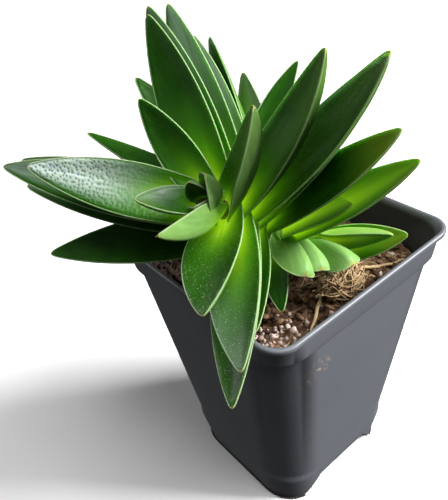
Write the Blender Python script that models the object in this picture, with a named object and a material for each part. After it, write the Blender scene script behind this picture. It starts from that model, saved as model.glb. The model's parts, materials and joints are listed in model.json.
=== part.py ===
"""A leaning leafy succulent in a square tapered nursery pot, for Blender 4.5.

Metres, +Z up. The origin is the middle of the pot's underside. The two pot faces that
the photograph shows look along -X (left) and -Y (right). Dimensions below are in
millimetres and become metres where a mesh is made.
"""

import math

import bmesh
import bpy
import numpy as np

METRES = 0.001
CLEARANCE = 0.3  # between two pieces that touch
WELD = 0.002  # points closer than this become one after a union

# Pot: a thin square shell with rounded corners, wider at the rim
POT_HEIGHT = 91.0
POT_TOP_HALF = 35.0
POT_FOOT_HALF = 25.3
WALL = 1.1
CORNER_STEPS = 6
CORNER_RADIUS = 14.0
RIM_RADIUS = 7.0
RIM_HEIGHT = 1.8
LUG_RADIUS = 9.5  # the sharper corner under the rim that pots nest on
LUG_HEIGHT = 7.0
STEP_HEIGHT = 0.8
FOOT_RADIUS = 12.0
FOOT_BAND = 13.0  # height of the sharper corner at the bottom
EDGE_ROUND = 0.5
FLOOR_LEVEL = 9.8  # underside of the floor, which is raised inside a skirt
FLOOR_TOP = 11.0
ARCH_RISE = 8.6  # openings in the skirt on the -Y and +Y sides
ARCH_LOW = 17.5
ARCH_HIGH = 11.0
POST_RADIUS = 5.0  # short post under the middle of the floor
DRAIN_RADIUS = 3.2
DRAIN_CIRCLE = 14.0
DRAINS = 4

# Soil: a filling with a rough top, clear of the pot all round
SOIL_LEVEL = 78.0
SOIL_RINGS = 13
SOIL_SEED = 5
SOIL_BUMPS = 46
BUMP_RADIUS = (2.6, 5.5)
BUMP_HEIGHT = (-1.5, 1.9)
MOUND_HEIGHT = 1.2
MOUND_RADIUS = 16.0
GRAINS = 44
GRAIN_RADIUS = (1.1, 2.1)
GRAIN_SINK = 0.2  # of its radius
FRONT_GRIT = (-26.0, -26.0)
FRONT_GRAINS = 16

# Stem: a straight foot in the soil, then a curve up to the growing tip
STEM_FOOT = (20.5, -14.4, 62.0)
STEM_CURVE = ((18.0, -14.0, 76.0), (-16.0, -8.0, 106.0), (-33.0, -13.0, 122.5))
STEM_RADIUS = (3.4, 2.0)
STEM_SIDES = 10
STEM_STATIONS = 14

# Leaves stand in four ranks. Each row is: distance back from the growing tip, turn about
# the stem from its upper side towards +Y, splay from the stem's direction, how much the
# splay grows to the tip of the leaf, roll about its own length, length, half width.
# Angles are in degrees.
BACK_RANK = (
    (2, 24, 16, 0, 0, 8, 2.6), (6, 50, 62, -6, 0, 29, 4.3), (10, 37, 64, 0, 0, 47, 5.9),
    (14, 41, 66, 0, 0, 53, 6.2), (18, 38, 65, 0, 0, 54, 6.2), (22, 41, 71, 0, 0, 50, 6.0),
    (26, 38, 69, 0, 20, 50, 5.0), (31, 39, 77, 0, 0, 44, 5.2), (18, 15, 86, 26, 0, 44, 4.6),
)
RIGHT_RANK = (
    (4, 325, 25, 0, 10, 12, 3.8), (9, 326, 56, -18, 24, 31, 5.4), (12, 325, 76, -34, 12, 46, 6.2),
    (16, 319, 79, -26, 10, 52, 6.6), (20, 329, 84, -22, 10, 50, 6.6), (24, 314, 84, -20, 12, 44, 5.8),
    (34, 310, 81, -18, 12, 45, 5.4), (30, 312, 87, 0, 20, 24, 4.8), (42, 300, 93, 0, -75, 26, 3.4),
    (48, 304, 93, 0, -30, 27, 4.6),
)
FRONT_RANK = (
    (2, 213, 16, 0, 0, 7, 2.6), (6, 197, 30, -8, -30, 22, 4.4), (10, 217, 58, 0, 0, 30, 7.4),
    (14, 228, 65, 0, 0, 42, 6.8), (18, 219, 71, 0, 0, 46, 6.4), (23, 222, 73, 0, 10, 29, 3.8),
    (28, 221, 93, 0, 10, 21, 3.4), (33, 254, 65, 10, -108, 19, 4.7), (38, 263, 64, 14, -115, 18, 5.4),
    (43, 277, 69, 14, -130, 21, 5.6),
)
LEFT_RANK = (
    (4, 120, 28, 0, -20, 18, 3.6), (8, 100, 53, 10, 10, 46, 5.8), (12, 102, 59, 8, 10, 59, 5.8),
    (16, 100, 62, 6, 8, 61, 5.4), (20, 108, 61, 0, 0, 60, 6.2), (25, 130, 58, 0, 0, 55, 6.2),
    (28, 89, 62, 0, -50, 58, 4.2), (24, 63, 62, 0, -30, 50, 4.6),
)
LEAF_STATIONS = 12
LEAF_ROOT = 0.6  # the root's distance from the stem's axis
LEAF_THICK = 3.4
YOUNG_LENGTH = 20.0  # leaves shorter than this are thinner in proportion
OLD_BACK = 30.0  # leaves this far back and shorter than OLD_LENGTH have round ends
OLD_LENGTH = 25.0
LEAF_EDGE = 0.32  # half the thickness of the margin
LEAF_BASE = 0.62  # width at the root, as a share of the full width
LEAF_BELLY = 0.42  # where along its length a leaf is widest
LEAF_DISH = 0.42  # how far the margins rise above the middle, per half width
SECTION_TOP = (-1.0, 0.0, 1.0)
SECTION_KEEL = (1.0, 0.55, 0.0, -0.55, -1.0)

# Dry roots: a rough knot on the soil with short fibres, and two long dead roots
CLUMP_CENTRE = (3.0, -21.5)
CLUMP_SIZE = (6.4, 4.4, 3.2)
CLUMP_SEED = 11
CLUMP_FIBRES = 14
FIBRE_RADIUS = 0.4
LONG_ROOT_RADIUS = 0.45
LONG_ROOTS = (  # each as places on the soil and heights over it
    ((2.5, -20.5, 3.0), (-1.5, -20.0, 3.0), (-5.5, -21.0, 1.8), (-10.0, -23.6, 1.0), (-15.0, -26.4, 1.1)),
    ((4.0, -21.0, 3.0), (8.5, -21.0, 2.6), (11.5, -24.4, 1.3), (13.4, -29.0, 1.1)),
)

GREEN = (0.06, 0.19, 0.035)
SLATE = (0.055, 0.062, 0.075)
COIR = (0.14, 0.065, 0.035)
TAN = (0.42, 0.27, 0.13)


def clear_scene():
    for old in list(bpy.data.objects):
        bpy.data.objects.remove(old, do_unlink=True)


def collection(name, helper=False):
    made = bpy.data.collections.new(name)
    bpy.context.scene.collection.children.link(made)
    made.hide_render = helper
    return made


def material(name, colour, roughness):
    made = bpy.data.materials.new(name)
    made.use_nodes = True
    shader = made.node_tree.nodes["Principled BSDF"]
    shader.inputs["Base Color"].default_value = (*colour, 1.0)
    shader.inputs["Roughness"].default_value = roughness
    shader.inputs["Metallic"].default_value = 0.0
    return made


def dress(piece, name, colour, roughness):
    """Gives the piece one material, in place of any slots that a union left."""
    piece.data.materials.clear()
    piece.data.materials.append(material(name, colour, roughness))
    for face in piece.data.polygons:
        face.material_index = 0


def mesh_object(name, points, faces, home, origin=(0.0, 0.0, 0.0)):
    """An object at origin whose points, given in millimetres in the part's frame, face out."""
    origin = np.asarray(origin, float)
    mesh = bpy.data.meshes.new(name)
    mesh.from_pydata(((np.asarray(points) - origin) * METRES).tolist(), [], faces)
    shape = bmesh.new()
    shape.from_mesh(mesh)
    bmesh.ops.recalc_face_normals(shape, faces=shape.faces)
    shape.to_mesh(mesh)
    shape.free()
    made = bpy.data.objects.new(name, mesh)
    made.location = origin * METRES
    home.objects.link(made)
    return made


def loft_faces(rows, columns):
    """Quads between closed rings, with a flat cap on the first and on the last ring."""
    faces = [
        (r * columns + c, r * columns + (c + 1) % columns,
         (r + 1) * columns + (c + 1) % columns, (r + 1) * columns + c)
        for r in range(rows - 1)
        for c in range(columns)
    ]
    last = (rows - 1) * columns
    return faces + [tuple(range(columns))[::-1], tuple(range(last, last + columns))]


def loft(name, rings, home, origin=(0.0, 0.0, 0.0)):
    rings = np.asarray(rings, float)
    faces = loft_faces(rings.shape[0], rings.shape[1])
    return mesh_object(name, rings.reshape(-1, 3), faces, home, origin)


def apply_modifiers(piece):
    """The evaluated mesh becomes the piece's own."""
    graph = bpy.context.evaluated_depsgraph_get()
    solved = bpy.data.meshes.new_from_object(piece.evaluated_get(graph))
    piece.modifiers.clear()
    piece.data = solved


def boolean(piece, operation, helpers, solver="EXACT"):
    """Joins to or cuts from the piece every object of a collection, then removes them."""
    for helper in helpers.objects:
        helper.display_type = "WIRE"
    step = piece.modifiers.new("boolean", "BOOLEAN")
    step.operation = operation
    step.operand_type = "COLLECTION"
    step.collection = helpers
    step.solver = solver
    apply_modifiers(piece)
    for used in list(helpers.objects):
        bpy.data.objects.remove(used, do_unlink=True)
    bpy.data.collections.remove(helpers)


def keep_outer_shell(piece):
    """Fills sealed hollows and drops scraps: keeps the largest set of faces that meet two by two."""
    shape = bmesh.new()
    shape.from_mesh(piece.data)
    bmesh.ops.remove_doubles(shape, verts=shape.verts, dist=WELD * METRES)
    unseen = set(shape.faces)
    shells = []
    while unseen:
        shell, edge = set(), [unseen.pop()]
        while edge:
            face = edge.pop()
            shell.add(face)
            plain = [link.link_faces for link in face.edges if len(link.link_faces) == 2]
            near = {other for pair in plain for other in pair} & unseen
            unseen -= near
            edge.extend(near)
        shells.append(shell)
    shells.sort(key=len)
    scraps = [face for shell in shells[:-1] for face in shell]
    bmesh.ops.delete(shape, geom=scraps, context="FACES")
    shape.to_mesh(piece.data)
    shape.free()


def smooth(piece, degrees=40.0):
    for face in piece.data.polygons:
        face.use_smooth = True
    piece.data.set_sharp_from_angle(angle=math.radians(degrees))


def rounded_square(half, radius, height):
    """Four arcs of one radius, joined by straight sides, at one height."""
    corner = np.repeat(np.arange(4), CORNER_STEPS + 1)
    turn = (corner + np.tile(np.linspace(0, 1, CORNER_STEPS + 1), 4)) * np.pi / 2
    middle = (corner + 0.5) * np.pi / 2
    reach = (half - radius) * math.sqrt(2)
    return np.stack(
        [reach * np.cos(middle) + radius * np.cos(turn),
         reach * np.sin(middle) + radius * np.sin(turn),
         np.full(len(turn), float(height))], axis=1)


def pot_half(height):
    """Half the outer width, which grows evenly from the foot to the rim."""
    return POT_FOOT_HALF + (POT_TOP_HALF - POT_FOOT_HALF) * height / POT_HEIGHT


def pot_rings():
    lug_top = POT_HEIGHT - RIM_HEIGHT
    lug_foot = lug_top - LUG_HEIGHT
    outside = (
        (0.0, -EDGE_ROUND, FOOT_RADIUS),
        (EDGE_ROUND, 0.0, FOOT_RADIUS),
        (FOOT_BAND, 0.0, FOOT_RADIUS),
        (FOOT_BAND + 2 * STEP_HEIGHT, 0.0, CORNER_RADIUS),
        (lug_foot, 0.0, CORNER_RADIUS),
        (lug_foot + STEP_HEIGHT, 0.0, LUG_RADIUS),
        (lug_top, 0.0, LUG_RADIUS),
        (lug_top + STEP_HEIGHT / 2, EDGE_ROUND, RIM_RADIUS),
        (POT_HEIGHT - EDGE_ROUND, EDGE_ROUND, RIM_RADIUS),
        (POT_HEIGHT, 0.0, RIM_RADIUS),
    )
    inside = (
        (POT_HEIGHT, -WALL, RIM_RADIUS - WALL),
        (lug_top, -WALL, LUG_RADIUS - WALL),
        (lug_foot + STEP_HEIGHT, -WALL, CORNER_RADIUS - WALL),
        (FLOOR_TOP, -WALL, CORNER_RADIUS - WALL),
    )
    return [rounded_square(pot_half(z) + grow, radius, z) for z, grow, radius in outside + inside]


def base_cutters(home):
    """The hollow under the floor, and a bar with sloping sides that opens two of its sides."""
    rings = [
        rounded_square(pot_half(z) - WALL, FOOT_RADIUS - WALL, z) for z in (-EDGE_ROUND, FLOOR_LEVEL)
    ]
    loft("hollow", rings, home)
    low, high = ARCH_LOW, ARCH_HIGH
    profile = ((-low, -1.0), (low, -1.0), (low, 0.0), (high, ARCH_RISE), (-high, ARCH_RISE), (-low, 0.0))
    reach = 2 * POT_TOP_HALF
    loft("arch", [[(x, y, z) for x, z in profile] for y in (-reach, reach)], home)


def rod(name, home, place, radius, low, high):
    """An upright round bar between two heights."""
    shape = bmesh.new()
    bmesh.ops.create_cone(
        shape, cap_ends=True, segments=20, radius1=radius * METRES, radius2=radius * METRES,
        depth=(high - low) * METRES)
    mesh = bpy.data.meshes.new(name)
    shape.to_mesh(mesh)
    shape.free()
    made = bpy.data.objects.new(name, mesh)
    made.location = (place[0] * METRES, place[1] * METRES, (low + high) / 2 * METRES)
    home.objects.link(made)


def drain_cutters(home):
    for k in range(DRAINS):
        turn = k * math.tau / DRAINS
        place = (DRAIN_CIRCLE * math.cos(turn), DRAIN_CIRCLE * math.sin(turn))
        rod(f"drain_{k}", home, place, DRAIN_RADIUS, FLOOR_LEVEL / 2, 2 * FLOOR_TOP)


def build_pot(home):
    pot = loft("pot", pot_rings(), home)
    gaps = collection("base_gaps", helper=True)
    base_cutters(gaps)
    boolean(pot, "DIFFERENCE", gaps)
    post = collection("post", helper=True)
    rod("post", post, (0.0, 0.0), POST_RADIUS, 0.0, (FLOOR_LEVEL + FLOOR_TOP) / 2)
    boolean(pot, "UNION", post)
    drains = collection("drains", helper=True)
    drain_cutters(drains)
    boolean(pot, "DIFFERENCE", drains)
    smooth(pot, 50.0)
    dress(pot, "slate_plastic", SLATE, 0.42)
    return pot


def soil_bumps():
    """Seeded centres, radii and heights of the low bumps and hollows on the soil."""
    draw = np.random.default_rng(SOIL_SEED)
    reach = pot_half(SOIL_LEVEL) - WALL
    centres = draw.uniform(-reach, reach, (SOIL_BUMPS, 2))
    return centres, draw.uniform(*BUMP_RADIUS, SOIL_BUMPS), draw.uniform(*BUMP_HEIGHT, SOIL_BUMPS)


def soil_height(x, y):
    """The level, a mound round the stem and each bump as a bell curve."""
    x, y = np.asarray(x, float), np.asarray(y, float)
    stem = (x - STEM_CURVE[0][0]) ** 2 + (y - STEM_CURVE[0][1]) ** 2
    height = SOIL_LEVEL + MOUND_HEIGHT * np.exp(-stem / MOUND_RADIUS**2)
    for (cx, cy), radius, rise in zip(*soil_bumps()):
        height = height + rise * np.exp(-((x - cx) ** 2 + (y - cy) ** 2) / radius**2)
    return height


def soil_rings():
    """Sides that follow the pot's inside, then rings that close in over the rough top."""
    inset = WALL + CLEARANCE
    bottom = FLOOR_TOP + CLEARANCE
    radius = CORNER_RADIUS - inset
    edge = rounded_square(pot_half(SOIL_LEVEL) - inset - 0.2, radius, 0.0)
    rings = [rounded_square(pot_half(bottom) - inset, radius, bottom)]
    for share in np.linspace(1.0, 0.06, SOIL_RINGS):
        ring = edge * share
        rise = soil_height(ring[:, 0], ring[:, 1])
        ring[:, 2] = np.minimum(rise, SOIL_LEVEL + 0.4) if share == 1.0 else rise
        rings.append(ring)
    return rings


def grain(name, home, centre, radius, draw):
    """A rough pebble: an icosphere whose points are drawn in and out."""
    shape = bmesh.new()
    bmesh.ops.create_icosphere(shape, subdivisions=1, radius=radius * METRES)
    for vertex in shape.verts:
        vertex.co *= draw.uniform(0.75, 1.15)
    mesh = bpy.data.meshes.new(name)
    shape.to_mesh(mesh)
    shape.free()
    made = bpy.data.objects.new(name, mesh)
    made.location = [c * METRES for c in centre]
    home.objects.link(made)


def soil_grains(home):
    """Pebbles all over the soil and more in the front corner, each sunk into the surface."""
    draw = np.random.default_rng(SOIL_SEED + 1)
    reach = pot_half(SOIL_LEVEL) - WALL - 2 * GRAIN_RADIUS[1]
    for k in range(GRAINS + FRONT_GRAINS):
        x, y = draw.uniform(-reach, reach, 2)
        if k >= GRAINS:
            x, y = FRONT_GRIT + draw.uniform(-4.5, 5.5, 2)
        radius = draw.uniform(*GRAIN_RADIUS)
        if max(abs(x), abs(y)) + min(abs(x), abs(y)) > 2 * reach - 6:
            x, y = 0.85 * x, 0.85 * y
        top = float(soil_height(x, y))
        grain(f"grain_{k}", home, (x, y, top - GRAIN_SINK * radius), radius, draw)


def build_soil(home):
    soil = loft("soil", soil_rings(), home)
    grains = collection("grains", helper=True)
    soil_grains(grains)
    boolean(soil, "UNION", grains)
    hole = collection("stem_hole", helper=True)
    loft("hole", stem_rings(CLEARANCE, foot_drop=1.0), hole)
    boolean(soil, "DIFFERENCE", hole)
    keep_outer_shell(soil)
    dress(soil, "coir_mix", COIR, 0.9)
    return soil


def unit(vector):
    return vector / np.linalg.norm(vector, axis=-1, keepdims=True)


def curve_point(share):
    """A point of the stem's quadratic curve and its direction there."""
    a, b, c = (np.array(p) for p in STEM_CURVE)
    point = (1 - share) ** 2 * a + 2 * share * (1 - share) * b + share**2 * c
    return point, unit(2 * (1 - share) * (b - a) + 2 * share * (c - b))


def stem_frame(back):
    """Point, direction, upper side and +Y side of the stem, a distance back from its tip."""
    shares = np.linspace(0, 1, 401)
    line = np.array([curve_point(s)[0] for s in shares])
    run = np.concatenate([[0.0], np.cumsum(np.linalg.norm(np.diff(line, axis=0), axis=1))])
    point, along = curve_point(float(np.interp(run[-1] - back, run, shares)))
    upper = unit(np.array([0.0, 0.0, 1.0]) - along[2] * along)
    side = np.cross(along, upper)
    return point, along, upper, side if side[1] > 0 else -side


def stem_rings(grow=0.0, foot_drop=0.0):
    """Rings about the stem from its foot in the soil to the growing tip."""
    foot = np.array(STEM_FOOT) - (0.0, 0.0, foot_drop)
    line = [foot] + [curve_point(s)[0] for s in np.linspace(0, 1, STEM_STATIONS - 1)]
    turn = np.linspace(0, math.tau, STEM_SIDES, endpoint=False)[:, None]
    rings = []
    for k, point in enumerate(line):
        along = unit(line[min(k + 1, len(line) - 1)] - line[max(k - 1, 0)])
        across = unit(np.cross(along, (0.0, 1.0, 0.0)))
        radius = np.interp(k, (0, len(line) - 1), STEM_RADIUS) + grow
        rings.append(point + radius * (np.cos(turn) * across + np.sin(turn) * np.cross(along, across)))
    return rings


def is_blunt(row):
    return row[0] >= OLD_BACK and row[5] < OLD_LENGTH


def leaf_width(t, half_width, blunt):
    """Half width along a leaf: it swells from the root to the belly and runs to a point or a round end."""
    swell = LEAF_BASE + (1 - LEAF_BASE) * np.sin(np.pi / 2 * np.clip(t / LEAF_BELLY, 0, 1))
    past = np.clip((t - LEAF_BELLY) / (1 - LEAF_BELLY), 0, 1)
    end = (1 - past**3.2) ** 0.5 if blunt else (1 - past**1.9) ** 0.9
    return half_width * swell * end + LEAF_EDGE


def leaf_thickness(t, length, blunt):
    """Keel depth along a leaf: thinner at the root, thickest past a half, gone at the tip."""
    full = LEAF_THICK * min(1.0, 0.45 + 0.55 * length / YOUNG_LENGTH)
    end = (1 - t**6) ** 0.5 if blunt else (1 - t**3) ** 0.7
    return full * (0.55 + 0.45 * np.sin(np.pi / 2 * np.clip(t / 0.6, 0, 1))) * end


def leaf_rings(row):
    """Rings along one leaf: a dished upper face and a keeled back."""
    back, turn, splay, bend, twist, length, half_width = row
    point, along, upper, side = stem_frame(back)
    t = 1 - (1 - np.linspace(0, 1, LEAF_STATIONS)) ** 1.3
    out = math.cos(math.radians(turn)) * upper + math.sin(math.radians(turn)) * side
    lean = np.radians(splay + bend * t)[:, None]
    ahead = along * np.cos(lean) + out * np.sin(lean)
    face = along * np.sin(lean) - out * np.cos(lean)
    across = np.cross(ahead, face)
    roll = math.radians(twist) * np.sin(np.pi / 2 * np.clip(2 * t, 0, 1))[:, None]
    across, face = across * np.cos(roll) + face * np.sin(roll), face * np.cos(roll) - across * np.sin(roll)
    steps = (ahead[:-1] + ahead[1:]) / 2 * (np.diff(t) * length)[:, None]
    middle = point + out * LEAF_ROOT + np.concatenate([np.zeros((1, 3)), np.cumsum(steps, axis=0)])
    width = leaf_width(t, half_width, is_blunt(row))[:, None]
    keel = leaf_thickness(t, length, is_blunt(row))[:, None]
    dish = LEAF_DISH * (1 - 0.55 * t)[:, None] * width
    top = [middle + across * width * v + face * (dish * v * v + LEAF_EDGE) for v in SECTION_TOP]
    low = [
        middle + across * width * v + face * (dish * v * v - LEAF_EDGE - keel * (1 - abs(v) ** 1.5))
        for v in SECTION_KEEL
    ]
    return np.stack(top + low, axis=1)


def build_leafy_stem(home):
    stem = loft("leafy_stem", stem_rings(), home, STEM_FOOT)
    leaves = collection("leaves", helper=True)
    for rank, rows in (("back", BACK_RANK), ("right", RIGHT_RANK), ("front", FRONT_RANK), ("left", LEFT_RANK)):
        for k, row in enumerate(rows):
            loft(f"{rank}_{k}", leaf_rings(row), leaves)
    boolean(stem, "UNION", leaves, solver="MANIFOLD")
    keep_outer_shell(stem)
    smooth(stem)
    dress(stem, "leaf_green", GREEN, 0.45)
    return stem


def tube(name, points, radius, home, origin):
    """A thin rod along a smooth line through a few points, tapered at both ends."""
    line = bpy.data.curves.new(name, "CURVE")
    line.dimensions = "3D"
    line.bevel_depth = radius * METRES
    line.bevel_resolution = 1
    line.resolution_u = 4
    line.use_fill_caps = True
    spline = line.splines.new("NURBS")
    spline.points.add(len(points) - 1)
    for knot, place in zip(spline.points, points):
        knot.co = (*((np.asarray(place) - origin) * METRES), 1.0)
    spline.order_u = 3
    spline.use_endpoint_u = True
    made = bpy.data.objects.new(name, line)
    made.location = np.asarray(origin) * METRES
    home.objects.link(made)
    return made


def on_soil(x, y, lift):
    return (x, y, float(soil_height(x, y)) + lift)


def build_dry_roots(home):
    """The knot's rough core, with the short fibres and the long roots fused to it."""
    draw = np.random.default_rng(CLUMP_SEED)
    centre = np.array(on_soil(*CLUMP_CENTRE, CLUMP_SIZE[2] + 1.0))
    shape = bmesh.new()
    bmesh.ops.create_icosphere(shape, subdivisions=2, radius=METRES)
    for vertex in shape.verts:
        vertex.co *= draw.uniform(0.82, 1.12)
        vertex.co = [c * s for c, s in zip(vertex.co, CLUMP_SIZE)]
    mesh = bpy.data.meshes.new("dry_roots")
    shape.to_mesh(mesh)
    shape.free()
    knot = bpy.data.objects.new("dry_roots", mesh)
    knot.location = centre * METRES
    home.objects.link(knot)
    roots = collection("roots", helper=True)
    for k in range(CLUMP_FIBRES):
        heading = draw.uniform(0, math.tau)
        out = np.array([math.cos(heading), math.sin(heading), draw.uniform(0.15, 0.9)])
        bow = np.array([-math.sin(heading), math.cos(heading), 0.3]) * draw.uniform(-1.5, 1.5)
        points = [centre + out * reach * np.array(CLUMP_SIZE) + bow * reach for reach in (0.1, 0.75, 1.2)]
        tube(f"fibre_{k}", points, FIBRE_RADIUS, roots, centre)
    for k, places in enumerate(LONG_ROOTS):
        tube(f"long_root_{k}", [on_soil(*place) for place in places], LONG_ROOT_RADIUS, roots, centre)
    solidify_curves(roots)
    boolean(knot, "UNION", roots)
    keep_outer_shell(knot)
    dress(knot, "dry_root", TAN, 0.85)
    return knot


def solidify_curves(group):
    """Each curve of a collection becomes a mesh object, as a Boolean takes only meshes."""
    graph = bpy.context.evaluated_depsgraph_get()
    for rod in list(group.objects):
        mesh = bpy.data.meshes.new_from_object(rod.evaluated_get(graph))
        shape = bmesh.new()
        shape.from_mesh(mesh)
        bmesh.ops.remove_doubles(shape, verts=shape.verts, dist=1e-6)
        bmesh.ops.recalc_face_normals(shape, faces=shape.faces)
        shape.to_mesh(mesh)
        shape.free()
        made = bpy.data.objects.new(rod.name + "_solid", mesh)
        made.location = rod.location
        group.objects.link(made)
        bpy.data.objects.remove(rod, do_unlink=True)


def main():
    clear_scene()
    home = collection("potted_succulent")
    build_pot(home)
    build_soil(home)
    build_leafy_stem(home)
    build_dry_roots(home)


if __name__ == "__main__":
    main()
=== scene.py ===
"""The looks of a leaning leafy succulent in a square nursery pot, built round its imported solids.

Metres, +Z up, with the origin in the middle of the pot's underside. Sizes are given in
millimetres and become metres where a mesh is made. The script is laid out as an add-on:
each operator makes one piece or one group of like pieces.
"""

import json
import math

import bmesh
import bpy
import numpy as np
from bpy.props import FloatProperty, FloatVectorProperty, IntProperty, PointerProperty
from mathutils import Matrix

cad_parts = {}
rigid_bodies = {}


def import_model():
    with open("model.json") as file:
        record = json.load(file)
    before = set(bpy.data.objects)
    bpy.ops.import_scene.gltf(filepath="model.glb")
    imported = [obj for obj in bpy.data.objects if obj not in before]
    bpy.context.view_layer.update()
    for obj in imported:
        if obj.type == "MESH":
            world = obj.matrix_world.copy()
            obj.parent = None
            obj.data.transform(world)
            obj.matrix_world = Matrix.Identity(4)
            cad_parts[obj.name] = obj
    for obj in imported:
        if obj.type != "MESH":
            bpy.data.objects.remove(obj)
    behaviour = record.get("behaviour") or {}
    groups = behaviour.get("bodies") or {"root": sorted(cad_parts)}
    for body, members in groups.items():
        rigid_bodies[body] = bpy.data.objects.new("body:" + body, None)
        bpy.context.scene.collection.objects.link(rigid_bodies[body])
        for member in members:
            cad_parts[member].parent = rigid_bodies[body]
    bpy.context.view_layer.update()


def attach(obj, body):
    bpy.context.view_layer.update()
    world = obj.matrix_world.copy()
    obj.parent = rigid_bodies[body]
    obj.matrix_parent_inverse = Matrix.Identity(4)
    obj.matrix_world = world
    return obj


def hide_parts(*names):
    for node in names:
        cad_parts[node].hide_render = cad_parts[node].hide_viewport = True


bl_info = {
    "name": "Potted leafy succulent",
    "version": (1, 0, 0),
    "blender": (4, 5, 0),
    "location": "3D View > Sidebar > Succulent",
    "description": "Makes the leaves, stem, soil, dry roots and pot of one potted succulent",
    "category": "Add Mesh",
}

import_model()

METRES = 0.001
BODY = "root"

# Pot: the same square shell as the solid, with finer corners and a rounded lip
POT_HEIGHT = 91.0
POT_TOP_HALF = 35.0
POT_FOOT_HALF = 25.3
WALL = 1.1
CORNER_STEPS = 14
CORNER_RADIUS = 14.0
RIM_RADIUS = 7.0
RIM_HEIGHT = 1.8
LUG_RADIUS = 9.5
LUG_HEIGHT = 7.0
STEP_HEIGHT = 0.8
FOOT_RADIUS = 12.0
FOOT_BAND = 13.0
BAND_BLEND = 4.0  # height over which the foot's corners turn into the body's
EDGE_ROUND = 0.5
LIP_TIGHTEN = 0.7  # how much the corners tighten for each step inwards over the lip
FLOOR_LEVEL = 9.8  # underside of the floor, which is raised inside a skirt
FLOOR_TOP = 11.0
ARCH_RISE = 8.6  # openings in the skirt on the -Y and +Y sides
ARCH_LOW = 17.5
ARCH_HIGH = 11.0
ARCH_BELOW = 1.0
POST_RADIUS = 5.0  # short post under the middle of the floor
ROUND_SIDES = 40
DRAIN_RADIUS = 3.2
DRAIN_CIRCLE = 14.0
DRAINS = 4
SHARP_ANGLE = 38.0  # degrees

# The pot's finish. Places and heights in it are in metres, as the materials read them.
DUST_TINT = (0.26, 0.25, 0.24)
DIRT_SPOTS = (  # place, reach and strength of each dried splash
    ((-0.0198, -0.0333, 0.0749), 0.0046, 1.0), ((-0.0166, -0.0331, 0.0733), 0.0040, 0.9),
    ((-0.0231, -0.0328, 0.0704), 0.0050, 0.5), ((-0.0113, -0.0341, 0.0824), 0.0022, 0.5),
)
LINING_LEVELS = (0.0908, 0.0885)  # heights where the painted shade on the inside starts and is full
# painted shade: a near-black tint that stands for the deep shadow on the inside of the wall
LINING_SHADE_TINT = (0.005, 0.004, 0.003)
LINING_SLOPE = 1.5  # how soon a wall that faces the middle counts as lining
LINING_SHADE_COVER = 0.94

# Soil: the solid's level, mound and bumps, with crumb on top
CLEARANCE = 0.3
SOIL_LEVEL = 78.0
SOIL_SEED = 5
SOIL_BUMPS = 46
BUMP_RADIUS = (2.6, 5.5)
BUMP_HEIGHT = (-1.5, 1.9)
MOUND_HEIGHT = 1.2
MOUND_RADIUS = 16.0
SOIL_RINGS = 110
SOIL_SIDES = 360
SOIL_MIDDLE = 0.004  # share of the top that is left inside its last ring
SOIL_EDGE_STEPS = 22
EDGE_GAP = 0.2
EDGE_RISE = 0.4  # how far the top may stand over its level at the wall
CRUMB = ((3.4, 1.1), (1.7, 0.75), (0.85, 0.4))  # wavelength and height of each layer
CRUMB_NOISE = 40  # seed of the first layer
SOIL_SHADE_REACH = (-0.006, 0.010)  # y in metres where the painted shade on the soil starts and is full
# painted shade: a dark tint that multiplies the soil, litter and roots behind, where the leaves shadow them
SOIL_SHADE_TINT = (0.09, 0.075, 0.06)
PEAT_TINT = (0.10, 0.052, 0.030)

# Litter on the soil: bark chips, pale grit and loose fibres. Tints are the darkest and the palest.
LITTER_SEED = 21
LITTER_INSET = 2.0
LITTER_DETAIL = 2  # subdivisions of the ball that a chip or stone is made from
LITTER_SHADE = (0.35, 0.28, 0.24)
CHIP_SIZES = ((0.7, 0.5, 0.25), (2.3, 1.2, 0.6))  # least and most half length, width and height
CHIP_TINTS = ((0.045, 0.021, 0.012), (0.40, 0.240, 0.130))
CHIP_DARKNESS = 1.6  # power of the random share, over 1 for more dark chips than pale ones
CHIP_TILT, CHIP_SINK, CHIP_DENTS = 0.7, 0.3, 0.18
GRIT_SIZES = (0.30, 0.85)
GRIT_STRETCH = (0.6, 1.3)
GRIT_TINT = (0.34, 0.23, 0.19)  # the darkest, as the palest is a setting
GRIT_TILT, GRIT_SINK, GRIT_DENTS = 1.5, 0.35, 0.24
FRONT_GRIT = (-24.0, -22.0)  # half of the grit lies round this place, with this spread
FRONT_SPREAD = 4.6
FIBRE_LENGTH = (2.5, 9.0)
FIBRE_BOW = 0.35
FIBRE_RADIUS = (0.08, 0.22)
FIBRE_STATIONS = 11
FIBRE_SIDES = 6
FIBRE_LIFT = 0.25
FIBRE_TINTS = ((0.18, 0.10, 0.05), (0.56, 0.40, 0.23))

# Stem: the solid's curve, with the ridges of old leaf scars
STEM_FOOT = (20.5, -14.4, 62.0)
STEM_CURVE = ((18.0, -14.0, 76.0), (-16.0, -8.0, 106.0), (-33.0, -13.0, 122.5))
STEM_RADIUS = (3.4, 2.0)
STEM_STATIONS = 150
STEM_FOOT_STATIONS = 24
STEM_SIDES = 40
SCAR_RISE = 0.06
SCAR_TURN = 150.0  # radians of the ridges' wave over the whole stem
SCAR_SLANT = 1.3
STEM_TINTS = ((0.10, 0.17, 0.03), (0.22, 0.19, 0.07))
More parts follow.
